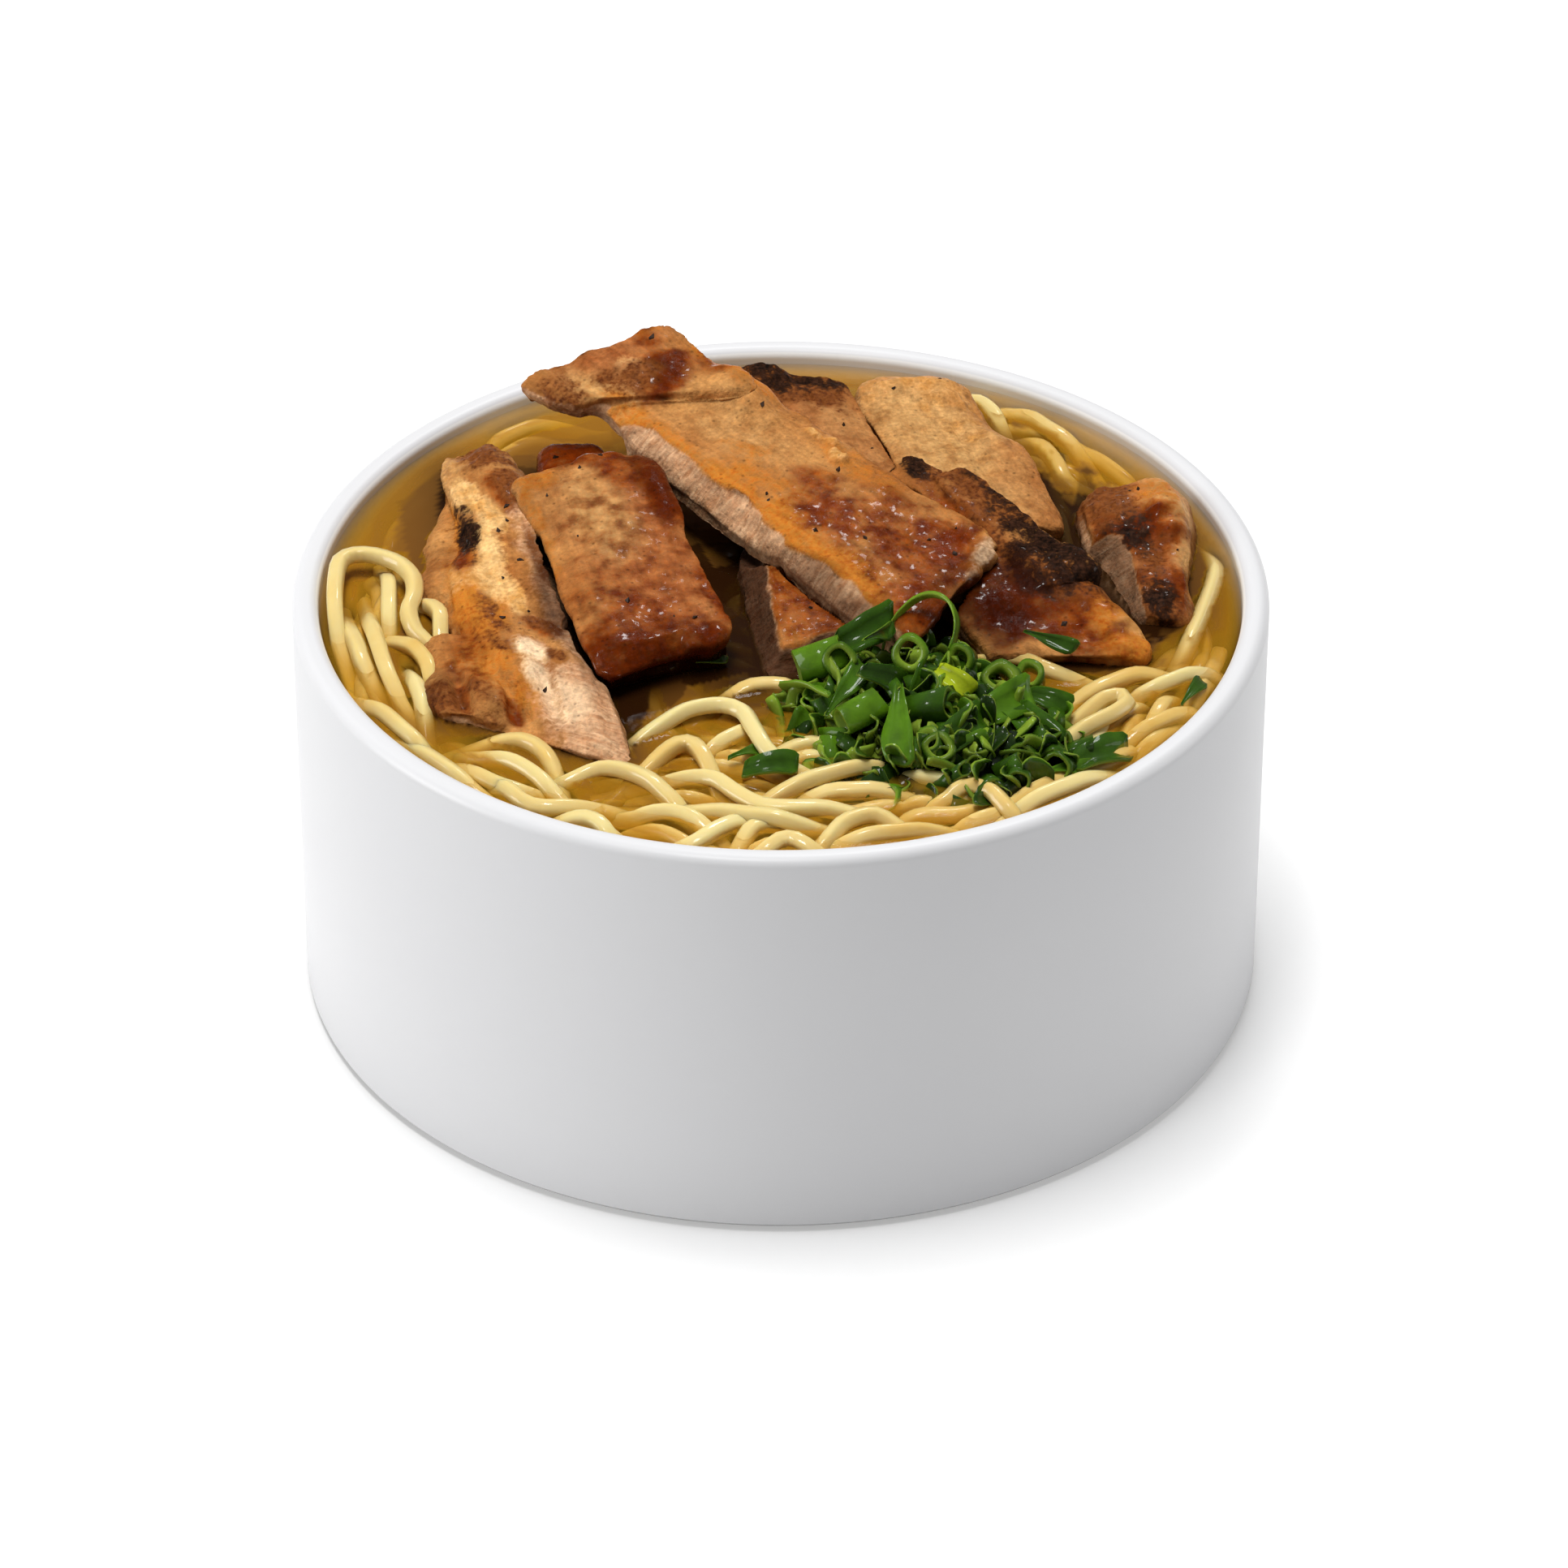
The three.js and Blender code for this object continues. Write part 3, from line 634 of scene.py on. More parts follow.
def egg_noodle(colour):
    """Boiled egg noodle: smooth, a little see-through and wet, its yellow uneven from strand to strand."""
    coat = Coat("boiled_egg_noodle")
    blotch = coat.speckle(9)
    share = coat.maths("MULTIPLY", coat.maths("MULTIPLY", coat.attribute("strand"), blotch), 1.5)
    tint = coat.blend(share, colour, linear(0xD4A84C))
    # The broth stains what lies under its surface.
    steeped = coat.ranged(coat.height(), (SURFACE + 1.2) * MM, (SURFACE - 3) * MM)
    # Fine ridges of the rolled dough, somewhat under a millimetre apart.
    ridges = coat.bump(coat.speckle(0.9, 2), 0.25, 0.08)
    return coat.finish(
        Base_Color=coat.blend(steeped, tint, linear(0xD29E34)), Normal=ridges,
        Roughness=coat.ranged(blotch, 0, 1, 0.28, 0.5), IOR=1.4, Subsurface_Weight=0.45,
        Subsurface_Radius=(1.0, 0.8, 0.45), Subsurface_Scale=1.8 * MM, Coat_Weight=0.8, Coat_Roughness=0.08)


def open_tree(name, sockets):
    """A geometry nodes tree with named inputs after its geometry: the tree, and what it is given."""
    tree = bpy.data.node_groups.new(name, "GeometryNodeTree")
    for label, kind in {"Geometry": "Geometry", **sockets}.items():
        tree.interface.new_socket(label, in_out="INPUT", socket_type="NodeSocket" + kind)
    tree.interface.new_socket("Geometry", in_out="OUTPUT", socket_type="NodeSocketGeometry")
    return tree, node(tree, "NodeGroupInput").outputs


def close_tree(tree, geometry, coat):
    """Ends a tree in real geometry that wears its material."""
    real = node(tree, "GeometryNodeRealizeInstances", {0: geometry})
    dressed = node(tree, "GeometryNodeSetMaterial", {"Geometry": real.outputs[0], "Material": coat})
    node(tree, "NodeGroupOutput", {0: dressed.outputs[0]})
    return tree


def strand_tree(coat):
    """Geometry nodes that sweep a rounded square along each middle line."""
    tree, given = open_tree("noodle_sweep", {"Width": "Float", "Seed": "Int"})
    index = node(tree, "GeometryNodeInputIndex").outputs[0]
    pick = node(tree, "FunctionNodeRandomValue", {"ID": index, "Seed": given["Seed"]}, data_type="FLOAT")
    named = node(tree, "GeometryNodeStoreNamedAttribute", {
        "Geometry": given["Geometry"], "Name": "strand", "Value": pick.outputs[1]},
        data_type="FLOAT", domain="CURVE")
    square = node(tree, "GeometryNodeCurvePrimitiveQuadrilateral", {
        "Width": given["Width"], "Height": given["Width"]})
    corner = node(tree, "ShaderNodeMath", {0: given["Width"], 1: 0.3}, operation="MULTIPLY")
    section = node(tree, "GeometryNodeFilletCurve", {
        "Curve": square.outputs[0], "Radius": corner.outputs[0], "Count": 2}, mode="POLY")
    swept = node(tree, "GeometryNodeCurveToMesh", {
        "Curve": named.outputs[0], "Profile Curve": section.outputs[0], "Fill Caps": True})
    return close_tree(tree, swept.outputs[0], coat)


def run_nodes(made, tree, **inputs):
    """Adds a geometry nodes modifier, sets its inputs by identifier and turns it into a mesh."""
    modifier = made.modifiers.new(tree.name, "NODES")
    modifier.node_group = tree
    sockets = {s.name: s.identifier for s in tree.interface.items_tree if s.in_out == "INPUT"}
    for name, value in inputs.items():
        modifier[sockets[name.replace("_", " ")]] = value
    return applied(made)


def noodle_core(coat):
    """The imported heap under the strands, as low lumps of noodle in the broth."""
    steps, rings = 120, 40
    radii = np.linspace(0, CORE_RADIUS, rings + 1)[1:]
    flat = np.array([spot for radius in radii for spot in ring(radius, 0, steps)])
    depth = CORE_DEPTH[0] + (CORE_DEPTH[1] - CORE_DEPTH[0]) * smoothstep(-30, 15, flat[:, 1])
    flat[:, 2] = SURFACE - depth + 0.9 * noise(flat, (7, 4, 9), 3) + 0.4 * noise(flat, 2.6, 5)
    poles = [(0, 0, SURFACE - CORE_DEPTH[1]), (0, 0, FLOOR + 1)]
    points = [*poles, *flat, *ring(CORE_FOOT, FLOOR + 1, steps)]
    return mesh_object("noodle_core", points, ring_faces(rings + 1, steps), coat)


class SOUP_OT_noodles(bpy.types.Operator):
    """Lays the noodles: strands swept along their middle lines, over a low core"""
    bl_idname = "soup.noodles"
    bl_label = "Noodles"

    def execute(self, context):
        settings = context.scene.soup_noodles
        coat = egg_noodle(tuple(settings.colour))
        curve = bpy.data.curves.new("noodle_strands", "CURVE")
        curve.dimensions = "3D"
        random = np.random.default_rng(settings.seed + 1)
        for line in laid_strands(settings):
            spline = curve.splines.new("POLY")
            spline.points.add(len(line) - 1)
            spline.points.foreach_set("co", np.c_[line * MM, np.ones(len(line))].ravel())
            along = np.arange(len(line)) * STRAND_STEP
            share = np.minimum(along, along[::-1]) / END_TAPER
            thick = random.uniform(0.9, 1.08) * (1 + 0.05 * np.sin(along / random.uniform(2, 5)))
            spline.points.foreach_set("radius", thick * np.sqrt(np.clip(share + 0.03, 0, 1)))
            spline.points.foreach_set("tilt", random.uniform(0, 3) + 0.03 * along * random.normal())
        strands = bpy.data.objects.new("noodle_strands", curve)
        context.scene.collection.objects.link(strands)
        strands = run_nodes(strands, strand_tree(coat), Width=settings.width, Seed=settings.seed)
        strands.data.shade_smooth()
        core = noodle_core(coat)
        serve(strands, "noodles", "noodles")
        serve(core, "noodles", "noodles")
        return {"FINISHED"}


# Chicken

# Each slice: `top` holds the corners of its upper face in mm, far left, far right, near right and near
# left. `sides` says how much bare meat each side shows, the soaked key how dark its foot is painted, partly
# for juice and partly as painted shade, and `lift` how far its lower side draws in. `patches` are (kind,
# along, across, reach along, reach across, strength): along runs from -1 at the far end to 1, across from
# -1 at the left to 1, and the reaches are in mm. A soaked patch is a place darkened partly by juice and
# partly as painted shade. `bevels` slope an upper edge: (side, width, fall, from, to), the last two a share
# of that edge; `shaded` is how much painted shade darkens them, and `knife` 0 keeps the skin on them.
# `swells` are (along, across, reach along, reach across, rise) in mm, and `spread` thickens the foot of one
# side: (side, along, reach, by how much).
SLICES = {
    "chicken_top": {
        "seed": 3, "top": [(-37, 43, 86.5), (-18, 55.5, 88), (37, 4.5, 79), (20.5, -26.5, 77)],
        "sides": {"left": 1, "right": 0.3, "near": 0.3, "far": 0.1}, "soaked_and_shaded": 0.1, "lift": 1.6,
        "bevels": [("left", 4.4, 4.6, -0.62, 0.25), ("left", 3.5, 3.6, 0.25, 1.3)],
        "swells": [(-0.43, 0.6, 8, 6, 2.4), (-0.98, 0.55, 6, 5, 1), (-1, -0.9, 8, 4, -0.8),
                   (-0.2, 1.1, 5, 3, 0.9), (0.1, 1.1, 4, 2.5, 0.8), (0.42, 1.15, 8, 3, -1),
                   (0.8, 1.1, 5, 4, 0.8), (0.2, -0.2, 18, 8, 0.5)],
        "patches": [
            ("pale", -0.76, -0.9, 9, 5, 1), ("crust", -0.9, -1.25, 5, 4, 0.8),
            # Near along -0.7 to -0.85 the crust, glaze and soaked patches paint the shade under the fold's
            # lower line, as well as crust.
            ("soaked_and_shaded", -0.74, 0.24, 5, 3.6, 0.4), ("crust", -0.77, -0.3, 4, 6, 0.8),
            ("rosy", -0.93, -0.4, 9, 12, 1), ("crust", -1.06, -0.4, 3, 9, 0.6),
            ("glaze", -0.92, 0.3, 5, 6, 0.6), ("glaze", -0.75, 0.24, 6, 5, 1),
            ("cream", -0.84, -0.3, 3, 5, 0.5), ("crust", -1.02, 0.9, 4, 5, 0.6),
            ("gold", -0.55, 0.9, 12, 6, 1), ("glaze", -0.68, 0, 4, 7, 1),
            ("soaked_and_shaded", -0.69, -0.02, 2.6, 5, 0.4), ("crust", -0.84, -0.58, 4, 4, 0.85),
            ("rosy", -0.95, 0.1, 6, 10, 1), ("gold", -1, 0.5, 5, 6, 0.6), ("glaze", -0.64, 0.6, 5, 4, 0.7),
            ("gold", -0.5, -0.8, 14, 4, 0.85), ("gold", -0.12, -0.76, 14, 5, 0.85),
            ("gold", -0.1, -0.3, 9, 5, 0.5), ("pale", -0.34, 0.1, 13, 7, 0.65),
            ("gold", 0.24, -0.7, 13, 6, 0.85), ("gold", 0.58, -0.75, 12, 5, 0.9),
            ("gold", 0.15, -0.4, 11, 6, 0.5), ("gold", 0.2, 0.7, 13, 4, 0.5),
            ("glaze", 0.16, 0.1, 7, 4, 0.8), ("glaze", 0.34, -0.22, 10, 6, 0.95),
            ("glaze", 0.5, 0.2, 8, 7, 0.7), ("glaze", 0.76, 0.2, 13, 12, 0.85),
            ("glaze", 0.88, -0.35, 8, 8, 0.9), ("glaze", 0.84, 0.45, 6, 7, 1),
            ("flesh", 0.98, 0.66, 3, 4.2, 0.6), ("soaked_and_shaded", 0.97, 0.05, 5, 9, 0.5),
            ("soaked_and_shaded", 0.54, -0.98, 12, 3.4, 0.6), ("soaked_and_shaded", 0.7, -0.98, 9, 3.6, 0.7),
            ("torn", -0.06, 0.73, 2.6, 1.2, 1), ("torn", 0.12, 0.62, 2, 1.4, 1),
            ("torn", 0.16, 0.25, 1.8, 1, 0.7), ("torn", 0.03, 0.8, 2, 1.4, 0.8),
            ("torn", 0.98, 0.62, 3.4, 4.6, 1), ("torn", 1.01, 0.4, 2.6, 4, 0.9),
            ("flesh", 1.01, 0.42, 2.2, 4, 0.55), ("torn", 0.95, 0.9, 3.4, 2.4, 1),
            ("cream", 0.97, 0.7, 3.6, 5, 0.3),
        ]},
    "chicken_left": {
        "seed": 5, "top": [(-44.5, 24, 79), (-22.5, 28.5, 82), (-6.5, -19.5, 76), (-30, -32, 76.5)],
        "sides": {"left": 0.4, "right": 0, "near": 0, "far": 0.2}, "soaked_and_shaded": 1, "lift": 1.8,
        "bevels": [("near", 4.4, 3.4, -1.3, 0.3)], "knife": 0,
        "swells": [(-0.5, 0, 14, 8, 0.7), (0.3, 0.3, 12, 8, -0.5), (-1.05, 0.2, 3, 6, 0.8),
                   (-0.72, -1.1, 9, 4, 1.1), (-0.6, 1.05, 14, 4, 1.4), (1.03, 1.03, 5.5, 4.5, 1.9),
                   (1.03, -1.03, 4.5, 4.5, 1.6), (-1, -1.02, 5, 4, 1.6)],
        "patches": [
            ("rosy", 0.15, 0.35, 34, 14, 1), ("pale", -0.36, -0.08, 15, 5.5, 1),
            ("gold", -0.4, -0.95, 18, 2, 0.5), ("gold", -0.93, -0.7, 5, 5, 0.6),
            ("glaze", 0.68, -0.3, 12, 9, 0.8), ("glaze", 0.35, -0.35, 8, 7, 0.6),
            ("glaze", 0.95, -0.4, 8, 12, 1), ("glaze", 0.65, 0.97, 15, 2.6, 0.9),
            ("glaze", 0.48, -0.1, 2.6, 2, 0.9), ("glaze", -0.62, 0.85, 14, 3.4, 1),
            ("glaze", 1, 0.4, 5, 9, 1), ("glaze", 1.08, -0.1, 3.5, 16, 1), ("glaze", -0.1, 0.6, 10, 4, 0.45),
            ("glaze", 0.1, 0.2, 30, 14, 0.4), ("soaked_and_shaded", -0.72, 0.8, 11, 3, 0.5),
            ("soaked_and_shaded", 1.02, -0.2, 7, 16, 0.45), ("soaked_and_shaded", 0.82, -0.5, 6, 7, 0.25),
            ("glaze", -1, 0.2, 4, 9, 0.8), ("soaked_and_shaded", -0.75, -0.8, 12, 4, 0.22),
            ("soaked_and_shaded", -0.35, -1.12, 14, 3, 0.35), ("glaze", -0.74, 0.48, 7, 5, 0.8),
        ]},
    "chicken_right": {
        "seed": 7, "top": [(14.5, 16.5, 80), (22, 33.5, 80.5), (63, -20.5, 71.5), (33, -21, 72)],
        "sides": {"left": 0.4, "right": 0, "near": 0.15, "far": 0}, "soaked_and_shaded": 0.8, "lift": 0.6,
        "swells": [(0.3, 0.5, 10, 6, 0.7), (0.75, 0, 8, 8, -0.6), (0.72, 1.1, 17, 4.5, 1.7),
                   (1.05, 0.6, 4, 7, 1)],
        "patches": [
            ("char", -1.02, 0.5, 7, 6, 0.9), ("crust", -0.54, 0.85, 17, 6, 0.9),
            ("char", -0.6, 1.15, 14, 2.6, 0.5), ("glaze", -0.35, 0.2, 11, 4, 0.9),
            ("crust", -0.1, 0.3, 8, 4, 0.8), ("char", -0.08, 1.2, 11, 5, 0.8), ("char", 0.1, 0.9, 9, 6, 1),
            ("char", 0.24, 0.3, 6, 3, 0.8), ("crust", 0.2, 0.7, 10, 7, 0.8),
            ("glaze", 0.46, -0.1, 13, 12, 1), ("glaze", 0.6, 0.15, 12, 6, 0.85),
            ("glaze", 0.1, -0.2, 10, 7, 0.9), ("gold", 0.8, 0.8, 12, 4, 1), ("gold", 0.99, 0.82, 8, 6, 1),
            ("pale", 0.66, 1, 12, 4, 0.9), ("gold", 0.5, 0.6, 12, 4, 0.8),
            ("cream", 0.76, 0.94, 4, 2.4, 0.6), ("soaked_and_shaded", 0.4, -0.6, 14, 8, 0.85),
            ("soaked_and_shaded", 0.24, 0.05, 7, 5, 0.75), ("soaked_and_shaded", 0.44, 0.1, 8, 5, 0.3),
            ("soaked_and_shaded", -0.05, -0.8, 10, 5, 0.3),
        ]},
    "chicken_back_middle": {
        "seed": 9, "top": [(-9.5, 58, 80.5), (11.5, 55.5, 79.5), (22, 25, 77), (6.5, 21, 78)],
        "sides": {"left": 0.4, "right": 0.5, "near": 0.4, "far": 0}, "soaked_and_shaded": 0.3, "lift": 0.5,
        "swells": [(-0.95, -0.4, 4, 4, 1), (-0.9, 0.3, 4, 4, -0.6)],
        "patches": [
            ("crust", -0.7, -0.2, 8, 12, 1), ("crust", -0.62, 0.3, 7, 7, 1),
            ("char", -0.86, 0.1, 5, 12, 0.8), ("char", -0.66, -0.3, 3, 6, 0.8),
            ("rosy", 0.1, 0.1, 24, 12, 0.8), ("pale", 0, 0.3, 16, 6, 0.42),
        ]},
    "chicken_far_left": {
        "seed": 13, "top": [(-59, 43.5, 74), (-43.5, 35.5, 78.5), (-21.5, -52, 71), (-50, -38.5, 70.5)],
        "sides": {"left": 0, "right": 1, "near": 1, "far": 0}, "soaked_and_shaded": 0.3, "lift": 0.4,
        "bevels": [("right", 5.5, 3, -0.4, 0.55)],
        "swells": [(-0.98, -0.5, 6, 5, -1.6), (-0.98, 0.7, 5, 4, -1), (-0.75, 0.1, 7, 6, 0.9),
                   (-0.55, -1.05, 6, 3, -0.9), (-0.3, -0.2, 9, 4, 0.8), (-0.3, -0.85, 7, 3, -1),
                   (0.1, -0.8, 10, 4, 0.9), (0.28, 0.2, 6, 5, -0.9), (0.55, -0.2, 8, 5, 0.9),
                   (0.5, 0.6, 7, 4, 0.6), (0.66, 0.1, 9, 1.6, -1.1), (0.2, 0.62, 1.5, 6, -0.9),
                   (0.72, -0.5, 3, 5, -0.8), (0.84, -1.35, 4, 4, 1.1), (0.83, -1.02, 6, 1.5, -1.5),
                   (0.8, -0.72, 5, 3.4, 1.4), (0.86, -0.36, 4, 2, -1.2)],
        "spread": ("left", -0.15, 24, 6.5),
        "patches": [
            ("crust", -0.86, 0.1, 7, 9, 0.9), ("crust", -0.66, 0.4, 7, 4.4, 1),
            ("glaze", -0.62, 0.3, 7, 5, 1), ("pale", -0.7, -0.8, 9, 5, 0.8),
            ("char", -0.28, -0.57, 8.5, 3.5, 1), ("glaze", -0.14, -0.7, 6, 2.6, 1),
            ("cream", -0.54, -0.45, 6, 4, 0.9), ("cream", -0.42, -0.1, 7, 3.4, 1),
            ("cream", -0.18, -0.26, 9, 3.4, 1), ("cream", 0.02, -0.3, 8, 4, 0.9),
            ("cream", 0.12, -0.04, 7, 2.4, 0.8), ("cream", 0.04, -0.8, 5, 4, 0.45),
            ("gold", 0.1, -0.6, 16, 7, 1), ("gold", -0.2, -0.9, 16, 4, 0.8),
            ("crust", 0.22, -0.48, 3.4, 2.6, 0.7), ("crust", 0.42, -0.4, 6, 4, 0.45),
            ("glaze", 0.32, -0.6, 6, 4, 0.4), ("glaze", 0.52, -0.84, 9, 4, 0.6),
            ("crust", 0.36, -0.3, 3, 2.4, 0.6), ("crust", 0.25, 0.34, 2.2, 6.4, 1),
            ("glaze", 0.27, 0.3, 3, 6, 0.9), ("crust", 0.46, 0.34, 2.4, 2.2, 1),
            # The crust strip at along -0.2 on the right edge, beside the next slice, is painted shade.
            ("crust", -0.2, 0.52, 11, 1.8, 0.9), ("flesh", 0.44, 0, 4.6, 3.4, 1),
            ("cream", 0.46, 0, 3.6, 3, 1), ("crust", 0.62, 0.18, 9, 1, 0.5), ("glaze", 0.85, -0.42, 4, 2, 1),
            ("gold", 0.6, -0.6, 8, 6, 0.7), ("crust", 0.9, -1.28, 4, 3.4, 1),
            ("soaked_and_shaded", 0.8, -1.3, 4, 2.6, 0.4), ("crust", 0.88, -0.84, 5, 5, 0.4),
            ("glaze", 0.72, -0.9, 5, 4, 0.6), ("glaze", 0.84, -1.02, 5, 1.2, 0.9),
            ("flesh", -0.1, 0.7, 30, 5.4, 1), ("flesh", 0.62, 0.1, 6, 4, 1), ("cream", 0.62, 0, 5, 3, 0.8),
            ("flesh", 0.73, 0.56, 15, 9, 1), ("flesh", 0.96, 0.8, 10, 8, 1), ("cream", 0.7, 0.28, 7, 4, 0.6),
            ("gold", 0.72, -0.24, 7, 4, 0.7), ("soaked_and_shaded", 0.08, 0.55, 14, 4.4, 0.75),
            ("soaked_and_shaded", -0.5, 0.9, 20, 3, 0.5), ("soaked_and_shaded", 0.4, 0.7, 8, 3, 0.4),
            ("soaked_and_shaded", 0.72, 1.05, 14, 2, 0.3),
        ]},
    "chicken_back_right": {
        "seed": 15, "top": [(12, 59, 77), (31, 59.5, 76), (49, 17.5, 72.5), (24, 15.5, 75)],
        "sides": {"left": 0.2, "right": 0.3, "near": 0.3, "far": 0}, "soaked_and_shaded": 0.5, "lift": 0.4,
        "swells": [(-0.85, 0.1, 4, 10, 0.9), (-0.5, 1.05, 6, 4, -1), (0.1, 0.3, 12, 1.4, -0.5),
                   (0, 0.9, 8, 3, 0.6)],
        "patches": [
            ("gold", -0.82, 0, 5, 14, 0.5), ("cream", -0.74, 0, 5, 12, 0.45),
            ("torn", -0.82, 0.1, 2.2, 7, 0.5), ("torn", -0.66, 0.5, 2.4, 2.4, 0.6),
            ("pale", -0.15, -0.2, 28, 12, 1), ("rosy", 0.4, 0.75, 22, 7, 0.3),
            ("cream", -0.3, 0.3, 10, 5, 0.3),
        ]},
    "chicken_middle": {
        "seed": 17, "top": [(-7.5, 11, 77), (13, 14, 76), (19.5, -20, 71.5), (-2, -28, 73)],
        "sides": {"left": 0.9, "right": 0.2, "near": 0.2, "far": 0}, "soaked_and_shaded": 0.9, "lift": 0.5,
        "bevels": [("left", 5, 5, -1.3, 1.3), ("near", 9, 6.5, -1.3, 1.3)], "shaded": 0.88,
        "patches": [
            ("gold", 0.1, -0.45, 18, 3, 0.7), ("glaze", 0.4, 0.4, 16, 10, 0.8), ("rosy", 0, 0.2, 20, 12, 1),
            ("glaze", 0.1, 0, 18, 12, 0.75), ("glaze", 0.85, -0.2, 6, 8, 0.9),
            ("soaked_and_shaded", 0.6, 0.5, 10, 9, 0.3),
        ]},
    "chicken_rim_right": {
        "seed": 19, "top": [(49, 27, 75), (65.5, 30, 75), (67.5, -9, 71), (56.5, -8, 72.5)],
        "sides": {"left": 0.9, "right": 0, "near": 0.1, "far": 0}, "soaked_and_shaded": 0.6, "lift": 0,
        "bevels": [("left", 4.6, 5, -0.15, 1.3)], "shaded": 0.62,
        "swells": [(-0.5, 1.15, 12, 5, 1.5), (-0.4, 0.2, 9, 5, 0.9), (0.1, 0.3, 4, 4, -0.5),
                   (0.5, 0.3, 7, 4, 0.6)],
        "patches": [
            ("rosy", -0.2, 0.2, 26, 10, 1), ("crust", -0.75, -0.5, 10, 5, 1),
            ("glaze", -0.4, -0.5, 10, 4, 1), ("pale", -0.6, 0.8, 11, 4, 0.9), ("gold", -0.6, 0.3, 8, 5, 0.6),
            ("pale", 0.1, 1, 15, 2.6, 0.9), ("char", -0.08, -0.2, 5, 4, 0.85),
            ("glaze", -0.08, 0.1, 8, 6, 1), ("glaze", 0.35, 0.3, 12, 4, 0.7), ("crust", 0.2, 0.2, 7, 4, 0.7),
            ("char", 0.78, 0.1, 5, 4, 0.85), ("glaze", 0.6, 0.4, 9, 6, 0.8),
            ("torn", 0.15, 0.7, 2, 1.4, 0.4), ("torn", -0.3, 0.4, 1.6, 1.4, 0.4),
        ]},
    "chicken_tucked": {
        "seed": 21, "top": [(-41, 39, 76), (-29, 37, 77), (-28, 22, 75.5), (-40, 28, 75)],
        "sides": {"left": 0, "right": 0, "near": 0, "far": 0}, "soaked_and_shaded": 1, "lift": 0,
        "patches": [("glaze", 0, 0, 16, 14, 1)]},
}
# How deep in mm a bevel still moves the side under it.
BEVEL_REACH = 9
# The kinds of patch, and those of them that go on round the edge, down the sides.
KINDS = ["gold", "glaze", "crust", "flesh", "char", "pale", "torn", "rosy", "cream", "soaked_and_shaded"]
WRAPPED = ["crust", "char", "glaze", "torn", "soaked_and_shaded"]
# Between which depths in mm skin gives way to bare meat, and how far the upper rim is squared up.
SKIN_EDGE = (0.3, 1.3)
RIM_RADIUS = 1.5


def slab_places(points, top):
    """Where points lie in a slice: along and across from -1 to 1 and depth in mm; its size and directions."""
    far_left, far_right, near_right, near_left = (np.array(c, float) for c in top)
    down = (near_left + near_right - far_left - far_right) / 4
    side = (far_right + near_right - far_left - near_left) / 4
    centre = (far_left + far_right + near_right + near_left) / 4
    up = np.cross(side, down)
    up *= np.sign(up[2]) / np.linalg.norm(up)
    basis = np.linalg.inv(np.array([down, side, up]).T)
    along = (basis @ (points - centre).T)[0]

    def edges(along):
        """The points of the left and right edge that far along."""
        share = (along[:, None] + 1) / 2
        return far_left + (near_left - far_left) * share, far_right + (near_right - far_right) * share

    # The side line turns and shortens along the slice.
    for _ in range(3):
        left, right = edges(along)
        middle, half = (left + right) / 2, (right - left) / 2
        across = ((points - middle) * half).sum(1) / (half ** 2).sum(1)
        spine = ((near_left - far_left) * (1 - across[:, None]) / 4
                 + (near_right - far_right) * (1 + across[:, None]) / 4)
        at = middle + half * across[:, None]
        along = along + ((points - at) * spine).sum(1) / (spine ** 2).sum(1)
    left, right = edges(along)
    face = (left + right) / 2 + (right - left) / 2 * across[:, None]
    depth = -((points - face) * up).sum(1)
    length, breadth = 2 * np.linalg.norm(down), 2 * np.linalg.norm(side)
    return along, across, depth, length, breadth, up, down, side


def edge_gaps(along, across, length, breadth):
    """How far, in mm, points of a slice lie inside each of its four sides."""
    return {
        "left": ((1 + across) * breadth / 2, along), "right": ((1 - across) * breadth / 2, along),
        "near": ((1 - along) * length / 2, across), "far": ((1 + along) * length / 2, across),
    }


def bevelled(points, look):
    """Slopes the upper edges where the knife went through aslant, and says how far each point sank."""
    along, across, depth, length, breadth, up, _, _ = slab_places(points, look["top"])
    gaps = edge_gaps(along, across, length, breadth)
    drop = np.zeros(len(points))
    for name, width, fall, start, end in look.get("bevels", []):
        gap, place = gaps[name]
        width = width * (1 + 0.3 * noise(points, 9, look["seed"] + 50))
        limit = fall * np.clip(1 - gap / width, 0, 1)
        limit *= smoothstep(start - 0.1, start + 0.1, place) * smoothstep(end + 0.1, end - 0.1, place)
        drop = np.maximum(drop, limit * np.clip(1 - depth / BEVEL_REACH, 0, 1))
    return points - up * drop[:, None], drop


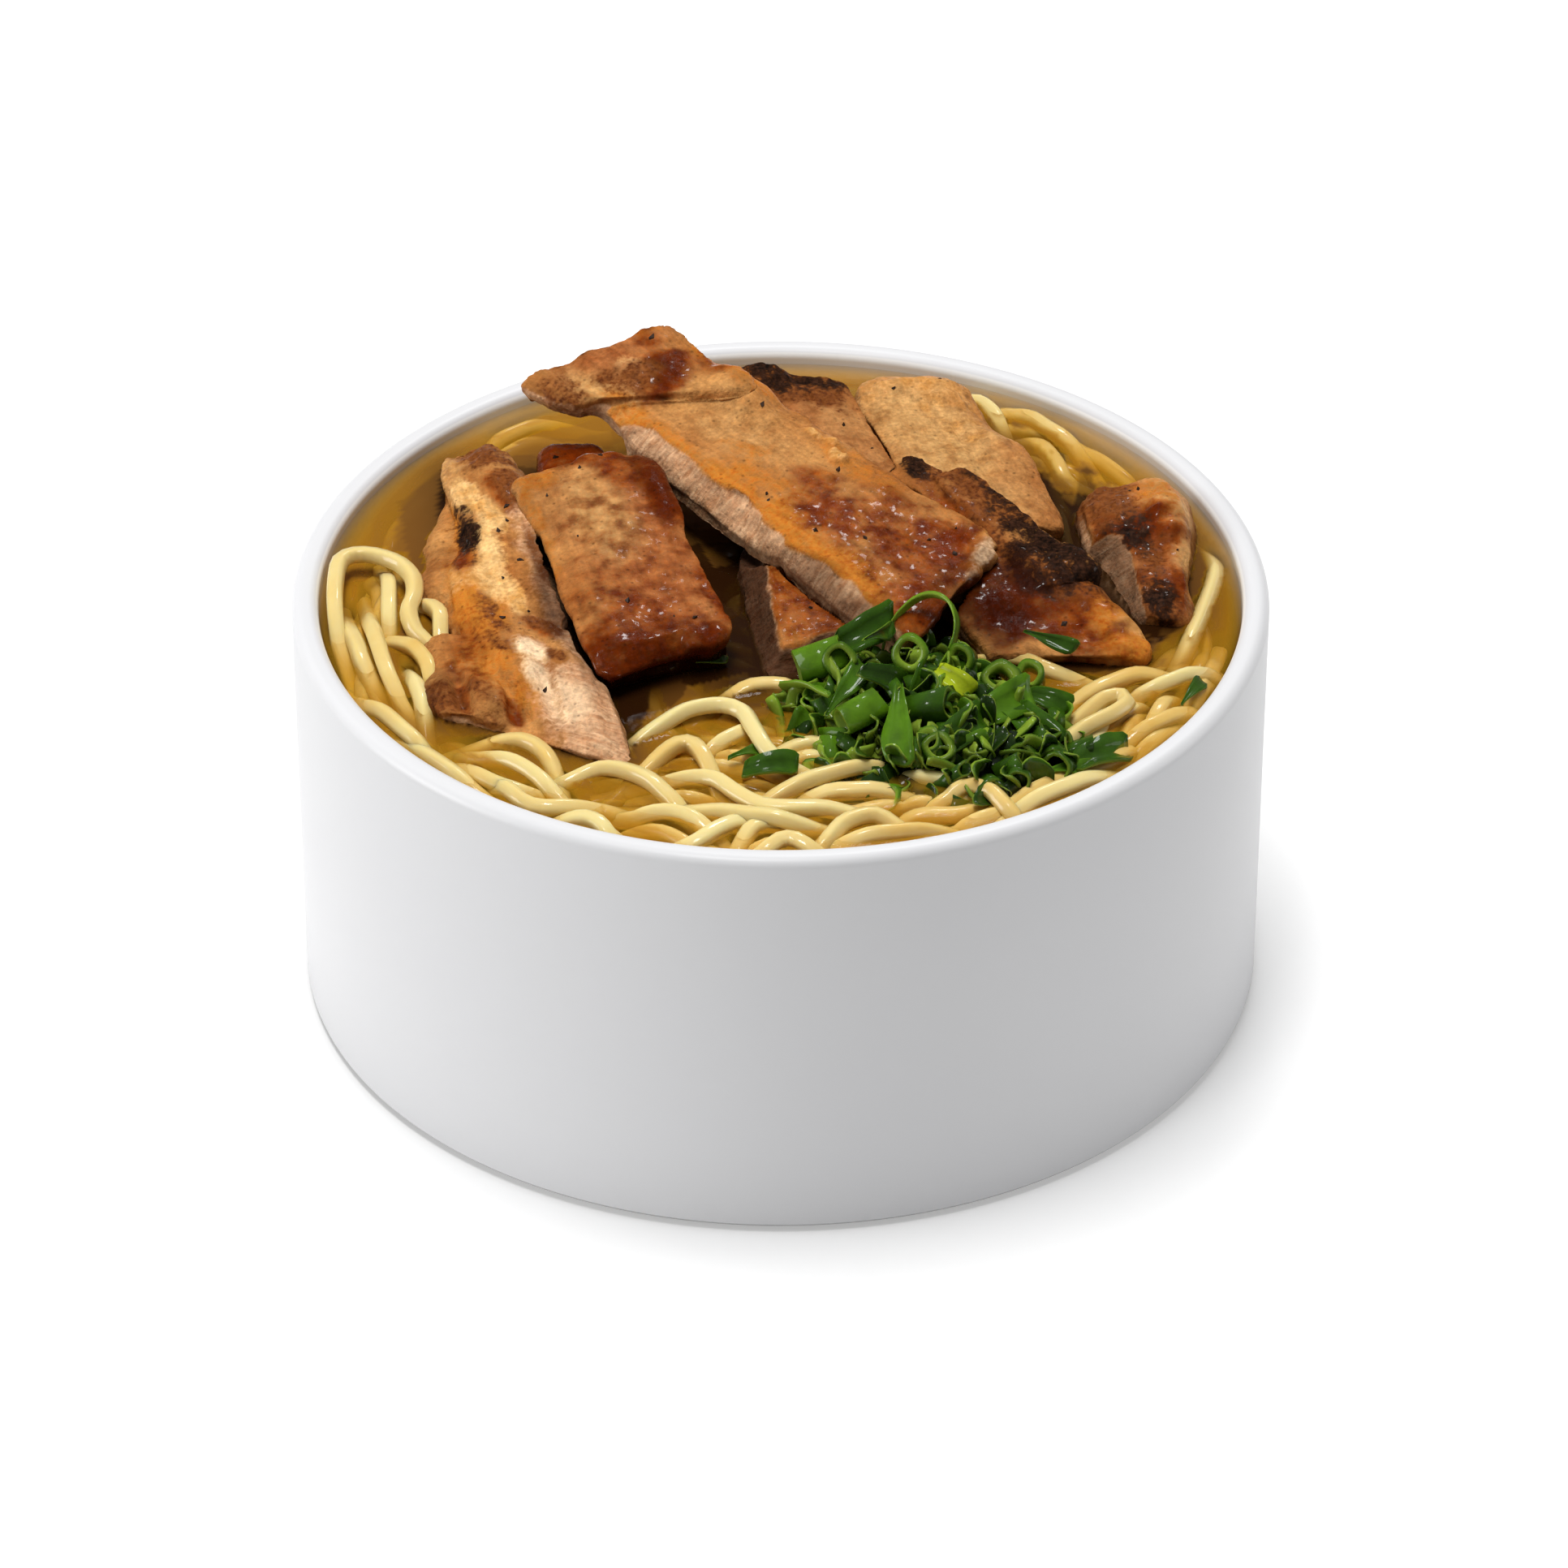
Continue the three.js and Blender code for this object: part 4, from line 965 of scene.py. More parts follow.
def slice_masks(look, points, normals, drop):
    """How golden, glazed, crusted, bare, charred and so on each point of a slice is."""
    along, across, depth, length, breadth, up, down, side = slab_places(points, look["top"])
    seed = look["seed"]
    upright = normals @ up
    skin = smoothstep(0.3, 0.7, upright)
    cut = look.get("knife", 1) * smoothstep(0.35, 0.85, drop + 0.35 * noise(points, 2.4, seed + 42))
    masks = dict.fromkeys(KINDS, 0)
    ragged = rough_noise(points, 6, seed + 40)

    def within(at, over, reach, width):
        away = np.hypot((along - at) * length / 2 / reach, (across - over) * breadth / 2 / width)
        return smoothstep(1.4, 0.4, away + 0.45 * ragged)

    for kind, at, over, reach, width, strength in look["patches"]:
        patch = strength * within(at, over, reach, width)
        # A soaked patch, juice stain and painted shade, darkens the bare cut as well.
        if kind != "soaked_and_shaded":
            patch = patch * (1 - 0.9 * cut)
        masks[kind] = np.maximum(masks[kind], patch if kind in WRAPPED else patch * skin)
    ends = {
        "left": normals @ -side / np.linalg.norm(side), "right": normals @ side / np.linalg.norm(side),
        "near": normals @ down / np.linalg.norm(down), "far": normals @ -down / np.linalg.norm(down),
    }
    bare = sum(look["sides"][name] * np.clip(facing, 0, 1) ** 2 for name, facing in ends.items())
    bare = smoothstep(0.2, 0.6, bare + 0.15 * ragged) * (1 - skin) * (1 - 0.9 * masks["crust"])
    bare *= smoothstep(*SKIN_EDGE, np.maximum(depth, drop * 2) + 0.7 * noise(points, 3, seed + 41))
    bare = np.maximum(bare, cut * max(look["sides"].values()))
    masks["flesh"] = np.clip(np.maximum(masks["flesh"] * (1 - 0.85 * masks["crust"]), bare), 0, 1)
    masks["skin"] = skin * (1 - cut)
    masks["upright"] = upright
    masks["foot"] = (1 - skin) * smoothstep(1.2, 5, depth + 0.8 * ragged) * (1 - 0.7 * cut)
    # Painted shade, partly for juice: the feet of the sides and the shaded bevels are darkened.
    for wet in (look["soaked_and_shaded"] * masks["foot"], look.get("shaded", 0) * cut):
        masks["soaked_and_shaded"] = np.maximum(masks["soaked_and_shaded"], wet)
    masks["swell"] = sum((rise * within(at, over, reach, width) for at, over, reach, width, rise
                          in look.get("swells", [])), np.zeros(len(points)))
    if "spread" in look:
        name, at, reach, out = look["spread"]
        low = smoothstep(0.3, 3.5, depth) * smoothstep(1, 0.2, np.abs(along - at) * length / 2 / reach)
        masks["swell"] = masks["swell"] + out * low * np.clip(ends[name], 0, 1)
    grain = np.stack([along * length / 2 + 0.3 * depth, across * breadth / 2, depth], -1)
    return masks, grain


def relief_of(points, masks, grain, look):
    """How far, in mm, each point of a slice stands out from its smooth form."""
    seed, skin, flesh, side = look["seed"], masks["skin"], masks["flesh"], 1 - masks["skin"]
    warped = grain + 0.9 * np.stack([noise(points, 3.4, seed + k) for k in (60, 61, 62)], -1)
    lumps = 0.55 * rough_noise(points, 14, seed, 2) + masks["swell"]
    # The upper rim is squared up, as a knife leaves it.
    level = np.clip(masks["upright"], 0, 1)
    rim = RIM_RADIUS * (1 / np.maximum(level, np.sqrt(1 - level ** 2)) - 1) * (masks["upright"] > 0)
    rim *= 0.55 + 0.45 * noise(points, 9, seed + 21)
    skin_face = skin * (1 - 0.55 * masks["glaze"]) * (
        0.14 * rough_noise(warped, (6, 1.8, 3), seed + 7) + 0.07 * noise(points, 1, seed + 8)
        - 0.24 * smoothstep(0.5, 0.9, noise(points, 1.6, seed + 5)))
    bubbles = masks["glaze"] * skin * (
        0.07 * np.abs(noise(points, 1.7, seed + 9)) + 0.05 * noise(points, 0.9, seed + 10))
    scallops = side * (1 - 0.65 * flesh) * (
        0.9 * noise(grain, (7, 7, 18), seed + 18) + 0.3 * noise(warped, (2.4, 2.4, 8), seed + 17)
        + 0.1 * noise(points, 1.3, seed + 20))
    fibres = flesh * side * (
        0.13 * (1 - 2 * np.abs(noise(warped, (1.5, 5, 6), seed + 11)))
        * (0.5 + 0.5 * noise(points, 3, seed + 12))
        + 0.3 * noise(points, 2.2, seed + 24) + 0.1 * noise(warped, (0.75, 2.2, 2), seed + 13))
    cut_face = flesh * skin * (
        0.3 * noise(warped, (2.6, 1.2, 2), seed + 14) + 0.14 * noise(points, 0.9, seed + 15))
    rough = np.maximum(masks["crust"], masks["char"])
    crags = rough * (
        0.15 - 0.5 * np.abs(noise(warped, (3.2, 1.9, 2), seed + 19)) + 0.2 * noise(points, 1.1, seed + 23))
    torn = masks["torn"] * (1.1 + 0.8 * noise(points, 2, seed + 29) + 0.35 * noise(points, 1, seed + 30))
    drawn_in = -look["lift"] * masks["foot"]
    return lumps + rim + skin_face + bubbles + scallops + fibres + cut_face + crags + torn + drawn_in


def smoothed(mesh, points, rounds):
    """Points moved towards the middle of their neighbours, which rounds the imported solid's facets."""
    edges = np.empty(len(mesh.edges) * 2, np.int32)
    mesh.edges.foreach_get("vertices", edges)
    a, b = edges.reshape(-1, 2).T
    count = np.bincount(np.r_[a, b], minlength=len(points))[:, None]
    for _ in range(rounds):
        total = np.zeros_like(points)
        for axis in range(3):
            total[:, axis] = (np.bincount(a, points[b, axis], len(points))
                              + np.bincount(b, points[a, axis], len(points)))
        points = points + 0.6 * (total / count - points)
    return points


def fine_copy(name, label, grain):
    """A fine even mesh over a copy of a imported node."""
    mesh = frame["nodes"][name].data.copy()
    made = bpy.data.objects.new(label, mesh)
    bpy.context.scene.collection.objects.link(made)
    weld = made.modifiers.new("weld", "WELD")
    weld.merge_threshold = 0.01 * MM
    remesh = made.modifiers.new("remesh", "REMESH")
    remesh.mode = "VOXEL"
    remesh.voxel_size = grain
    return applied(made)


def roast_chicken():
    """Thigh meat roasted under a soy and honey glaze: tan skin with golden, rosy and reddish-brown patches,
    black where it caught the flame, pale stringy meat where the knife went through."""
    coat = Coat("roast_chicken")
    roast, meat, blush = (
        node(coat.tree, "ShaderNodeSeparateColor", {0: coat.attribute(name, "Color")}).outputs
        for name in ("roast", "meat", "blush"))
    grain = coat.attribute("grain", "Vector")
    grit = coat.speckle(0.8, 4)
    mottle = coat.speckle(3.4, 4)
    broad = coat.speckle(12)

    def tones(follow, low, high, light, dark):
        """Two tones of one thing, mixed as a texture goes from low to high."""
        return coat.blend(coat.ranged(follow, low, high), linear(light), linear(dark))

    def patchy(mask, coarse, fine, low=0.1, high=0.9):
        """A mask whose edge the mottle and the fine grain break up."""
        parts = coat.maths("MULTIPLY_ADD", mottle, coarse, mask)
        parts = coat.maths("MULTIPLY_ADD", grit, fine, parts)
        shift = (coarse + fine) / 2
        whole = coat.ranged(parts, low + shift, high + shift, how="SMOOTHSTEP")
        return coat.maths("MULTIPLY", whole, coat.maths("MULTIPLY", mask, 4.0, clamp=True))

    colour = tones(broad, 0.35, 0.65, 0xBC844A, 0x9A5E2C)
    colour = coat.blend(blush["Red"], colour, tones(mottle, 0.3, 0.7, 0xAA6A3A, 0x884822))
    colour = coat.blend(meat["Blue"], colour, tones(mottle, 0.35, 0.65, 0xC8985E, 0xAE7C46))
    # Darker brown clouds where the glaze caught.
    colour = coat.blend(coat.ranged(mottle, 0.52, 0.75, 0, 0.4), colour, linear(0x7A431C))
    gold = tones(grit, 0.3, 0.7, 0xCE8430, 0xA4591A)
    colour = coat.blend(patchy(roast["Red"], 1.2, 0.7), colour, gold)
    cream = tones(mottle, 0.35, 0.65, 0xE6BA7C, 0xC68E4C)
    colour = coat.blend(patchy(blush["Green"], 1.2, 0.8), colour, cream)
    glaze = tones(mottle, 0.35, 0.65, 0x8E4410, 0x5C2206)
    glaze = coat.blend(coat.ranged(roast["Green"], 0.86, 1, 0, 0.75), glaze, linear(0x622002))
    colour = coat.blend(patchy(roast["Green"], 1.3, 0.7, 0, 1), colour, glaze)
    crust = tones(grit, 0.3, 0.7, 0x8E5226, 0x4A220C)
    colour = coat.blend(patchy(roast["Blue"], 1.6, 1.1), colour, crust)
    # The strings of meat show about 0.8 mm apart, drawn out through the thickness of the slice.
    strings = coat.grained(grain, (1, 0.25, 0.2), Scale=1.3, Detail=5, Distortion=0.6)
    flesh = tones(strings, 0.3, 0.7, 0xAC7A54, 0xD8AE86)
    flesh = coat.blend(coat.ranged(mottle, 0.4, 0.7, 0, 0.5), flesh, linear(0xB0764C))
    flesh = coat.blend(blush["Green"], flesh, linear(0xEACAA2))
    colour = coat.blend(patchy(meat["Red"], 0.9, 0.8), colour, flesh)
    char = tones(grit, 0.35, 0.75, 0x0C0705, 0x3E2416)
    colour = coat.blend(patchy(meat["Green"], 2.0, 1.8), colour, char)
    # Juice stains and painted shade darken the soaked and shaded places.
    colour = coat.blend(blush["Blue"], colour, linear(0x2C0A02))
    # Fine light and dark grain, long streaks and pores, over everything.
    streaks = coat.grained(grain, (0.22, 1, 1), Scale=0.9, Detail=4)
    colour = coat.blend(0.8, colour, coat.ranged(grit, 0.3, 0.7, 0.72, 1.26), "MULTIPLY")
    colour = coat.blend(0.7, colour, coat.ranged(streaks, 0.35, 0.65, 0.82, 1.16), "MULTIPLY")
    pores = node(coat.tree, "ShaderNodeTexVoronoi", {
        "Vector": coat.place, "Scale": 1 / (1.9 * MM)}).outputs["Distance"]
    colour = coat.blend(1.0, colour, coat.ranged(pores, 0.06, 0.2, 0.55, 1), "MULTIPLY")

    dry = coat.ranged(grit, 0.3, 0.7, 0.5, 0.34)
    wet = coat.ranged(roast["Green"], 0, 1, 1, 0.62)
    burnt = coat.ranged(meat["Green"], 0, 1, 0, 0.3)
    # The glaze shines in beads under a millimetre across.
    beads = coat.ranged(coat.speckle(1, 2), 0.54, 0.66)
    shine = coat.maths("MULTIPLY", beads, coat.ranged(roast["Green"], 0.15, 0.9, 0, 0.7))
    relief = coat.maths("ADD", coat.speckle(0.5), strings)
    return coat.finish(
        Base_Color=colour, Roughness=coat.maths("MULTIPLY_ADD", dry, wet, burnt), IOR=1.37,
        Normal=coat.bump(relief, coat.ranged(roast["Green"], 0, 0.8, 0.7, 0.3), 0.28),
        Coat_Weight=shine, Coat_Roughness=0.1, Specular_IOR_Level=0.09, Subsurface_Weight=0.08,
        Subsurface_Radius=(1.0, 0.45, 0.2), Subsurface_Scale=0.8 * MM)


def cracked_pepper():
    """Cracked black pepper: dull near-black chips, a little brown where they broke."""
    coat = Coat("cracked_pepper")
    tint = coat.blend(coat.speckle(0.5, 2), linear(0x120B08), linear(0x3A261A))
    return coat.finish(Base_Color=tint, Roughness=0.6)


def pepper_chip(name, spread):
    """A chip of peppercorn about 1 mm across: a flat uneven octahedron."""
    points = [(0.5, 0.1, 0), (0.05, 0.42, 0.05), (-0.44, 0.12, 0), (-0.1, -0.4, 0.04), (0.05, 0, 0.26),
              (0, 0.04, -0.24)]
    points = np.array(points) * (1, spread, 1)
    faces = [(0, 1, 4), (1, 2, 4), (2, 3, 4), (3, 0, 4), (1, 0, 5), (2, 1, 5), (3, 2, 5), (0, 3, 5)]
    return mesh_object(name, points, faces, None, smooth=False)


def upper_faces(name, sources, least_height, least_up=0.85, over=0.0):
    """The faces of some objects that look up, as one mesh, `over` mm higher, for small things to fall on."""
    points, faces = [], []
    for source in sources:
        mesh = source.data
        for face in mesh.polygons:
            if face.normal.z > least_up and face.center.z > least_height * MM:
                start = len(points)
                points += [mesh.vertices[i].co / MM + Vector((0, 0, over)) for i in face.vertices]
                faces.append(tuple(range(start, len(points))))
    return mesh_object(name, points, faces, None)


class SOUP_OT_chicken(bpy.types.Operator):
    """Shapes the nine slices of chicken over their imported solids, and peppers them"""
    bl_idname = "soup.chicken"
    bl_label = "Chicken"

    def execute(self, context):
        settings = context.scene.soup_chicken
        coat = roast_chicken()
        grain_size = settings.grain * 1
        slices = []
        for name, look in SLICES.items():
            made = fine_copy(name, name + "_slice", grain_size)
            mesh = made.data
            mesh.materials.clear()
            mesh.materials.append(coat)
            points = smoothed(mesh, points_of(mesh), 8)
            points, drop = bevelled(points, look)
            move_points(mesh, points)
            normals = normals_of(mesh)
            masks, grain = slice_masks(look, points, normals, drop)
            relief = settings.relief * relief_of(points, masks, grain, look)
            move_points(mesh, points + normals * relief[:, None])
            masks["gold"] = np.maximum(masks["gold"], masks["torn"])
            masks["cream"] = np.maximum(masks["cream"], 0.6 * masks["torn"])
            masks["full"] = 1
            # The blush attribute carries the rosy and cream patches and the soaked darkening, juice and
            # painted shade.
            for label, kinds in (("roast", ("gold", "glaze", "crust")), ("meat", ("flesh", "char", "pale")),
                                 ("blush", ("rosy", "cream", "soaked_and_shaded"))):
                held = [np.broadcast_to(masks[kind], len(points)) for kind in (*kinds, "full")]
                paint(mesh, label, np.stack(held, -1))
            paint(mesh, "grain", grain, "FLOAT_VECTOR")
            mesh.shade_smooth()
            serve(made, "chicken", name)
            slices.append(made)
        ground = upper_faces("pepper_ground", slices, SURFACE + 3)
        chips = [pepper_chip("chipA", 1), pepper_chip("chipB", 0.6)]
        pepper = scattered("cracked_pepper", ground, cracked_pepper(), chips, settings.pepper, 0.7, 1.9, 3)
        bpy.data.objects.remove(ground)
        serve(pepper, "chicken")
        return {"FINISHED"}


# Spring onion

# The heap, in mm: its middle, its half length and half width, how it is turned, how high it stands over
# the broth and how deep in it, and how far from the bowl's middle it may spread.
ONION_CENTRE = (25.5, -38)
ONION_REACH = (31, 20)
ONION_TURN = math.radians(-42)
ONION_HEIGHT = 3.2
ONION_FOOT = 3.4
ONION_FURTHEST = 67


def onion_place(along, across):
    u, v = along * ONION_REACH[0], across * ONION_REACH[1]
    turned = math.cos(ONION_TURN), math.sin(ONION_TURN)
    x, y = ONION_CENTRE[0] + u * turned[0] - v * turned[1], ONION_CENTRE[1] + u * turned[1] + v * turned[0]
    inside = min(1, ONION_FURTHEST / math.hypot(x, y))
    return x * inside, y * inside


# The leaf's greens, from the darkest pieces to the yellowest: (place on the ramp, sRGB colour). The heap,
# with no piece value of its own, takes the darkest as painted shade.
ONION_GREENS = [(0, 0x0A1703), (0.35, 0x1A3004), (0.66, 0x315209), (0.9, 0x588012), (1, 0xAAB61A)]


def spring_onion():
    """Chopped spring onion leaf: wet and waxy, mid to dark green outside, paler and yellower inside."""
    coat = Coat("cut_spring_onion")
    cloud = coat.speckle(4)
    ramp = node(coat.tree, "ShaderNodeValToRGB", {"Fac": coat.attribute("piece")})
    marks = ramp.color_ramp.elements
    for i, (position, colour) in enumerate(ONION_GREENS):
        mark = marks[i] if i < 2 else marks.new(position)
        mark.position, mark.color = position, linear(colour)
    shade = coat.ranged(cloud, 0.3, 0.7, 0.65, 1.25)
    outside = coat.blend(1.0, ramp.outputs["Color"], shade, "MULTIPLY")
    inside = coat.maths("MULTIPLY", coat.attribute("inner"), 0.55)
    # Veins along the leaf, about 0.6 mm apart.
    veins = coat.bump(coat.speckle(0.6, 1), 0.4, 0.08)
    return coat.finish(
        Base_Color=coat.blend(inside, outside, linear(0x98B038)), Normal=veins,
        Roughness=coat.ranged(cloud, 0, 1, 0.4, 0.6), IOR=1.38, Subsurface_Weight=0.15,
        Subsurface_Radius=(0.6, 1.0, 0.2), Subsurface_Scale=0.8 * MM, Specular_IOR_Level=0.25,
        Coat_Weight=0.45, Coat_Roughness=0.08)


def leaf_mesh(name, rows, inner, closed):
    """A piece of leaf from rows of points in mm, each row a closed loop, with its inner side marked."""
    count = len(rows[0])
    points = [point for row in rows for point in row]
    pairs = list(zip(range(len(rows)), range(1, len(rows)))) + ([(len(rows) - 1, 0)] if closed else [])
    faces = [(a * count + k, a * count + (k + 1) % count, b * count + (k + 1) % count, b * count + k)
             for a, b in pairs for k in range(count)]
    if not closed:
        faces += [tuple(range(count))[::-1], tuple((len(rows) - 1) * count + k for k in range(count))]
    made = mesh_object(name, points, faces, None)
    paint(made.data, "inner", np.tile(inner, len(rows)), "FLOAT")
    return made


def tube_wall(name, outer, wall, tall, sides=14, bend=0.0, slant=0.0):
    """A cut length of hollow leaf: a closed ring with an inner and an outer wall."""
    rows = []
    for i in range(sides):
        angle = 2 * math.pi * i / sides
        squash = 1 + bend * math.cos(2 * angle)
        row = []
        for radius, height in ((outer, 0), (outer - wall, 0), (outer - wall, tall), (outer, tall)):
            x, y = radius * squash * math.cos(angle), radius / squash * math.sin(angle)
            row.append((x, y, height * (1 + slant * x / outer) - tall / 2))
        rows.append(row)
    return leaf_mesh(name, rows, [0, 1, 1, 0], True)


def leaf_strip(name, length, width, thick, curl, steps=9, cup=0.35, point=0.2, slant=0.4, rise=1.0):
    """A cut piece of leaf: a thin curved strip, cupped along its middle, narrower at one end."""
    rows = []
    for i in range(steps + 1):
        share = i / steps
        angle = curl * (share - 0.5)
        radius = length / max(curl, 0.01)
        x, z = radius * math.sin(angle), rise * (radius * math.cos(angle) - radius)
        half = width / 2 * (1 - point * (1 - smoothstep(0, 0.85, share))) * (1 - 0.25 * (i in (0, steps)))
        over = [(x + slant * y * half, y * half, z + cup * y * y + thick / 2) for y in (-1, -0.5, 0, 0.5, 1)]
        under = [(x + slant * y * half, y * half, z + cup * y * y - thick / 2) for y in (1, 0.5, 0, -0.5, -1)]
        rows.append(under + over)
    return leaf_mesh(name, rows, [1] * 5 + [0] * 5, False)


def onion_mound(coat):
    """The low heap of wet leaf under the pieces that show, painted the darkest green as painted shade in the
    gaps.
    """
    steps, rings = 160, 44
    points = []
    for i in range(1, rings + 1):
        share = i / rings
        for j in range(steps):
            angle = 2 * math.pi * j / steps
            swell = 1 + 0.1 * math.sin(3 * angle + 1) + 0.06 * math.sin(7 * angle)
            reach = share * swell
            points.append((*onion_place(reach * math.cos(angle), reach * math.sin(angle)), share))
    points = np.array(points)
    share = points[:, 2].copy()
    points[:, 2] = 0
    lumps = 0.9 * noise(points, (3.4, 2.2, 3), 51) + 0.5 * noise(points, 1.3, 53)
    dome = (ONION_HEIGHT + ONION_FOOT) * (1 - share ** 2.4)
    points[:, 2] = SURFACE - ONION_FOOT + dome + lumps * (1 - 0.4 * share)
    crest = (*ONION_CENTRE, SURFACE + ONION_HEIGHT)
    foot = (*ONION_CENTRE, SURFACE - ONION_FOOT - 2)
    return mesh_object("onion_mound", [crest, foot, *points], ring_faces(rings, steps), coat)


# The pieces that stand out, as laid: kind, middle in mm, turns about X, Y and Z in degrees, size, and
# shade from 0, dark, to 1, yellow.
PLACED = [
    ("arch", (25.6, -17.4, 80.6), (-52, 0, -31), 1, 0.86),
    ("tube", (6.6, -26.2, 74.4), (0, 78, 14), 1.2, 0.86),
    ("wide", (13.6, -21.4, 76.4), (40, -14, 25), 1.2, 0.62),
    ("wide", (8.6, -30.6, 74.2), (64, 0, 110), 0.9, 0.5),
    ("blade", (16.4, -23, 77), (60, 20, 60), 0.9, 0.7),
    ("ring", (9.4, -28, 75.6), (58, 8, 0), 1, 0.7),
    ("ring", (20.8, -28, 76.8), (60, -8, 0), 1.1, 0.78),
    ("wide", (27.4, -33.4, 75.2), (36, 16, -37), 0.8, 0.98),
    ("tube", (13, -41.4, 74.4), (8, 80, 40), 1.1, 0.86),
    ("blade", (18.8, -45, 75), (8, 18, -92), 1.45, 0.78),
    ("ring", (35, -30, 72.6), (30, 10, 0), 1.1, 0.6),
    ("ring", (40, -27.4, 71.8), (40, -10, 0), 0.9, 0.7),
    ("wide", (42.5, -34.6, 72), (20, 8, -20), 0.8, 0.6),
    ("wide", (35.5, -38.6, 73.6), (34, -10, 30), 1.2, 0.78),
    ("tube", (23.4, -40.4, 74.2), (70, 30, 80), 1.1, 0.6),
    ("wide", (28.5, -46, 73), (24, -10, 40), 1.2, 0.55),
    ("ring", (24.6, -49.4, 72.4), (40, 20, 0), 0.95, 0.68),
    ("ring", (29, -26.5, 74.4), (50, -24, 0), 0.9, 0.7),
    ("blade", (10.5, -35, 74.6), (16, -12, 60), 1.1, 0.7),
    ("blade", (4.4, -33, 73.4), (30, 20, 130), 1, 0.8),
    ("wide", (16.2, -33.4, 75.4), (30, 30, 10), 0.9, 0.42),
    ("wide", (40, -42, 72.2), (24, 14, -50), 1.1, 0.66),
    ("blade", (43.4, -20.6, 74.6), (48, 4, -28), 0.8, 0.62),
    ("wide", (-1.6, -52, 70.6), (10, 4, 16), 1, 0.6),
    ("blade", (-4.6, -46, 70), (20, 10, 40), 0.8, 0.7),
    ("blade", (-12, -20.6, 70.6), (0, 0, 10), 0.6, 0.6),
    ("wide", (51, -47, 69.6), (10, 6, 34), 1.2, 0.6),
    ("blade", (46.4, -50.6, 69.6), (24, 12, 20), 1, 0.74),
    ("blade", (66.2, -28.4, 69.8), (6, 0, 60), 0.7, 0.6),
    ("wide", (16.5, -54, 68.9), (12, 6, 34), 1, 0.35),
    ("wide", (31, -54, 68.4), (6, -6, 70), 1, 0.4),
    ("blade", (38, -52, 68.4), (4, 4, 120), 1, 0.6),
]


def placed_leaves(coat):
    """The spring onion that stands out of the heap, each piece in its own place."""
    shapes = {
        "arch": leaf_strip("arch", 22, 2, 0.55, 3.9, steps=28, cup=0.2, point=0.3, slant=0.1, rise=1.45),
        "ring": tube_wall("ring", 2.6, 1.05, 3.6, sides=24, bend=0.08, slant=0.15),
        "tube": tube_wall("tube", 2.4, 0.6, 7, sides=22, bend=0.1, slant=0.12),
        "wide": leaf_strip("wide", 9.5, 5.2, 0.6, 0.9, steps=12, cup=1.3, point=0.3),
        "blade": leaf_strip("blade", 11.5, 3.6, 0.5, 0.6, steps=12, cup=0.5, point=0.8),
    }
    points, faces, inner, shades = [], [], [], []
    for kind, spot, turns, size, shade in PLACED:
        shape = shapes[kind].data
        turned = np.array(Euler([math.radians(a) for a in turns]).to_matrix())
        moved = size * points_of(shape) @ turned.T + spot
        moved += 0.3 * np.stack([noise(moved, 3, 70 + k) for k in range(3)], -1)
        start = len(points)
        points += list(moved)
        faces += [tuple(start + i for i in face.vertices) for face in shape.polygons]
        inner += [value.value for value in shape.attributes["inner"].data]
        shades += [shade] * len(moved)
    for shape in shapes.values():
        bpy.data.objects.remove(shape)
    made = mesh_object("onion_leaves", points, faces, coat)
    paint(made.data, "inner", inner, "FLOAT")
    paint(made.data, "piece", shades, "FLOAT")
    return made


# The heap's own pieces keep to the darker part of the range of greens.
DARK_SHARE = 0.8


def scatter_tree(name, coat, kinds):
    """Geometry nodes that scatter small pieces over a surface at random turns and sizes."""
    tree, given = open_tree(name, {
        "Count": "Int", "Least size": "Float", "Most size": "Float", "Seed": "Int",
        **{piece.name: "Object" for piece in kinds}})
    area = node(tree, "GeometryNodeInputMeshFaceArea").outputs[0]
    total = node(tree, "GeometryNodeAttributeStatistic", {0: given["Geometry"], 2: area}, domain="FACE")
    density = node(tree, "ShaderNodeMath", {0: given["Count"], 1: total.outputs["Sum"]}, operation="DIVIDE")
    spots = node(tree, "GeometryNodeDistributePointsOnFaces", {
        "Mesh": given["Geometry"], "Density": density.outputs[0], "Seed": given["Seed"]})
    choice = node(tree, "GeometryNodeGeometryToInstance")
    for piece in reversed(kinds):
        held = node(tree, "GeometryNodeObjectInfo", {"Object": given[piece.name]})
        tree.links.new(held.outputs["Geometry"], choice.inputs[0])
    turn = node(tree, "FunctionNodeRandomValue", {
        0: (-math.pi,) * 3, 1: (math.pi,) * 3, "Seed": given["Seed"]}, data_type="FLOAT_VECTOR")
    size = node(tree, "FunctionNodeRandomValue", {
        2: given["Least size"], 3: given["Most size"], "Seed": given["Seed"]}, data_type="FLOAT")
    placed = node(tree, "GeometryNodeInstanceOnPoints", {
        "Points": spots.outputs["Points"], "Instance": choice.outputs[0], "Pick Instance": True,
        "Rotation": turn.outputs[0], "Scale": size.outputs[1]})
    shade = node(tree, "FunctionNodeRandomValue", {3: DARK_SHARE, "Seed": given["Seed"]}, data_type="FLOAT")
    named = node(tree, "GeometryNodeStoreNamedAttribute", {
        "Geometry": placed.outputs[0], "Name": "piece", "Value": shade.outputs[1]},
        data_type="FLOAT", domain="INSTANCE")
    return close_tree(tree, named.outputs[0], coat)


def scattered(name, ground, coat, kinds, count, least, most, seed):
    """A mesh of small pieces scattered over an object, which stays as it is."""
    made = bpy.data.objects.new(name, ground.data.copy())
    bpy.context.scene.collection.objects.link(made)
    tree = scatter_tree(name + "_scatter", coat, kinds)
    values = {piece.name: piece for piece in kinds}
    made = run_nodes(made, tree, Count=count, Least_size=least, Most_size=most, Seed=seed, **values)
    for piece in kinds:
        bpy.data.objects.remove(piece)
    return made


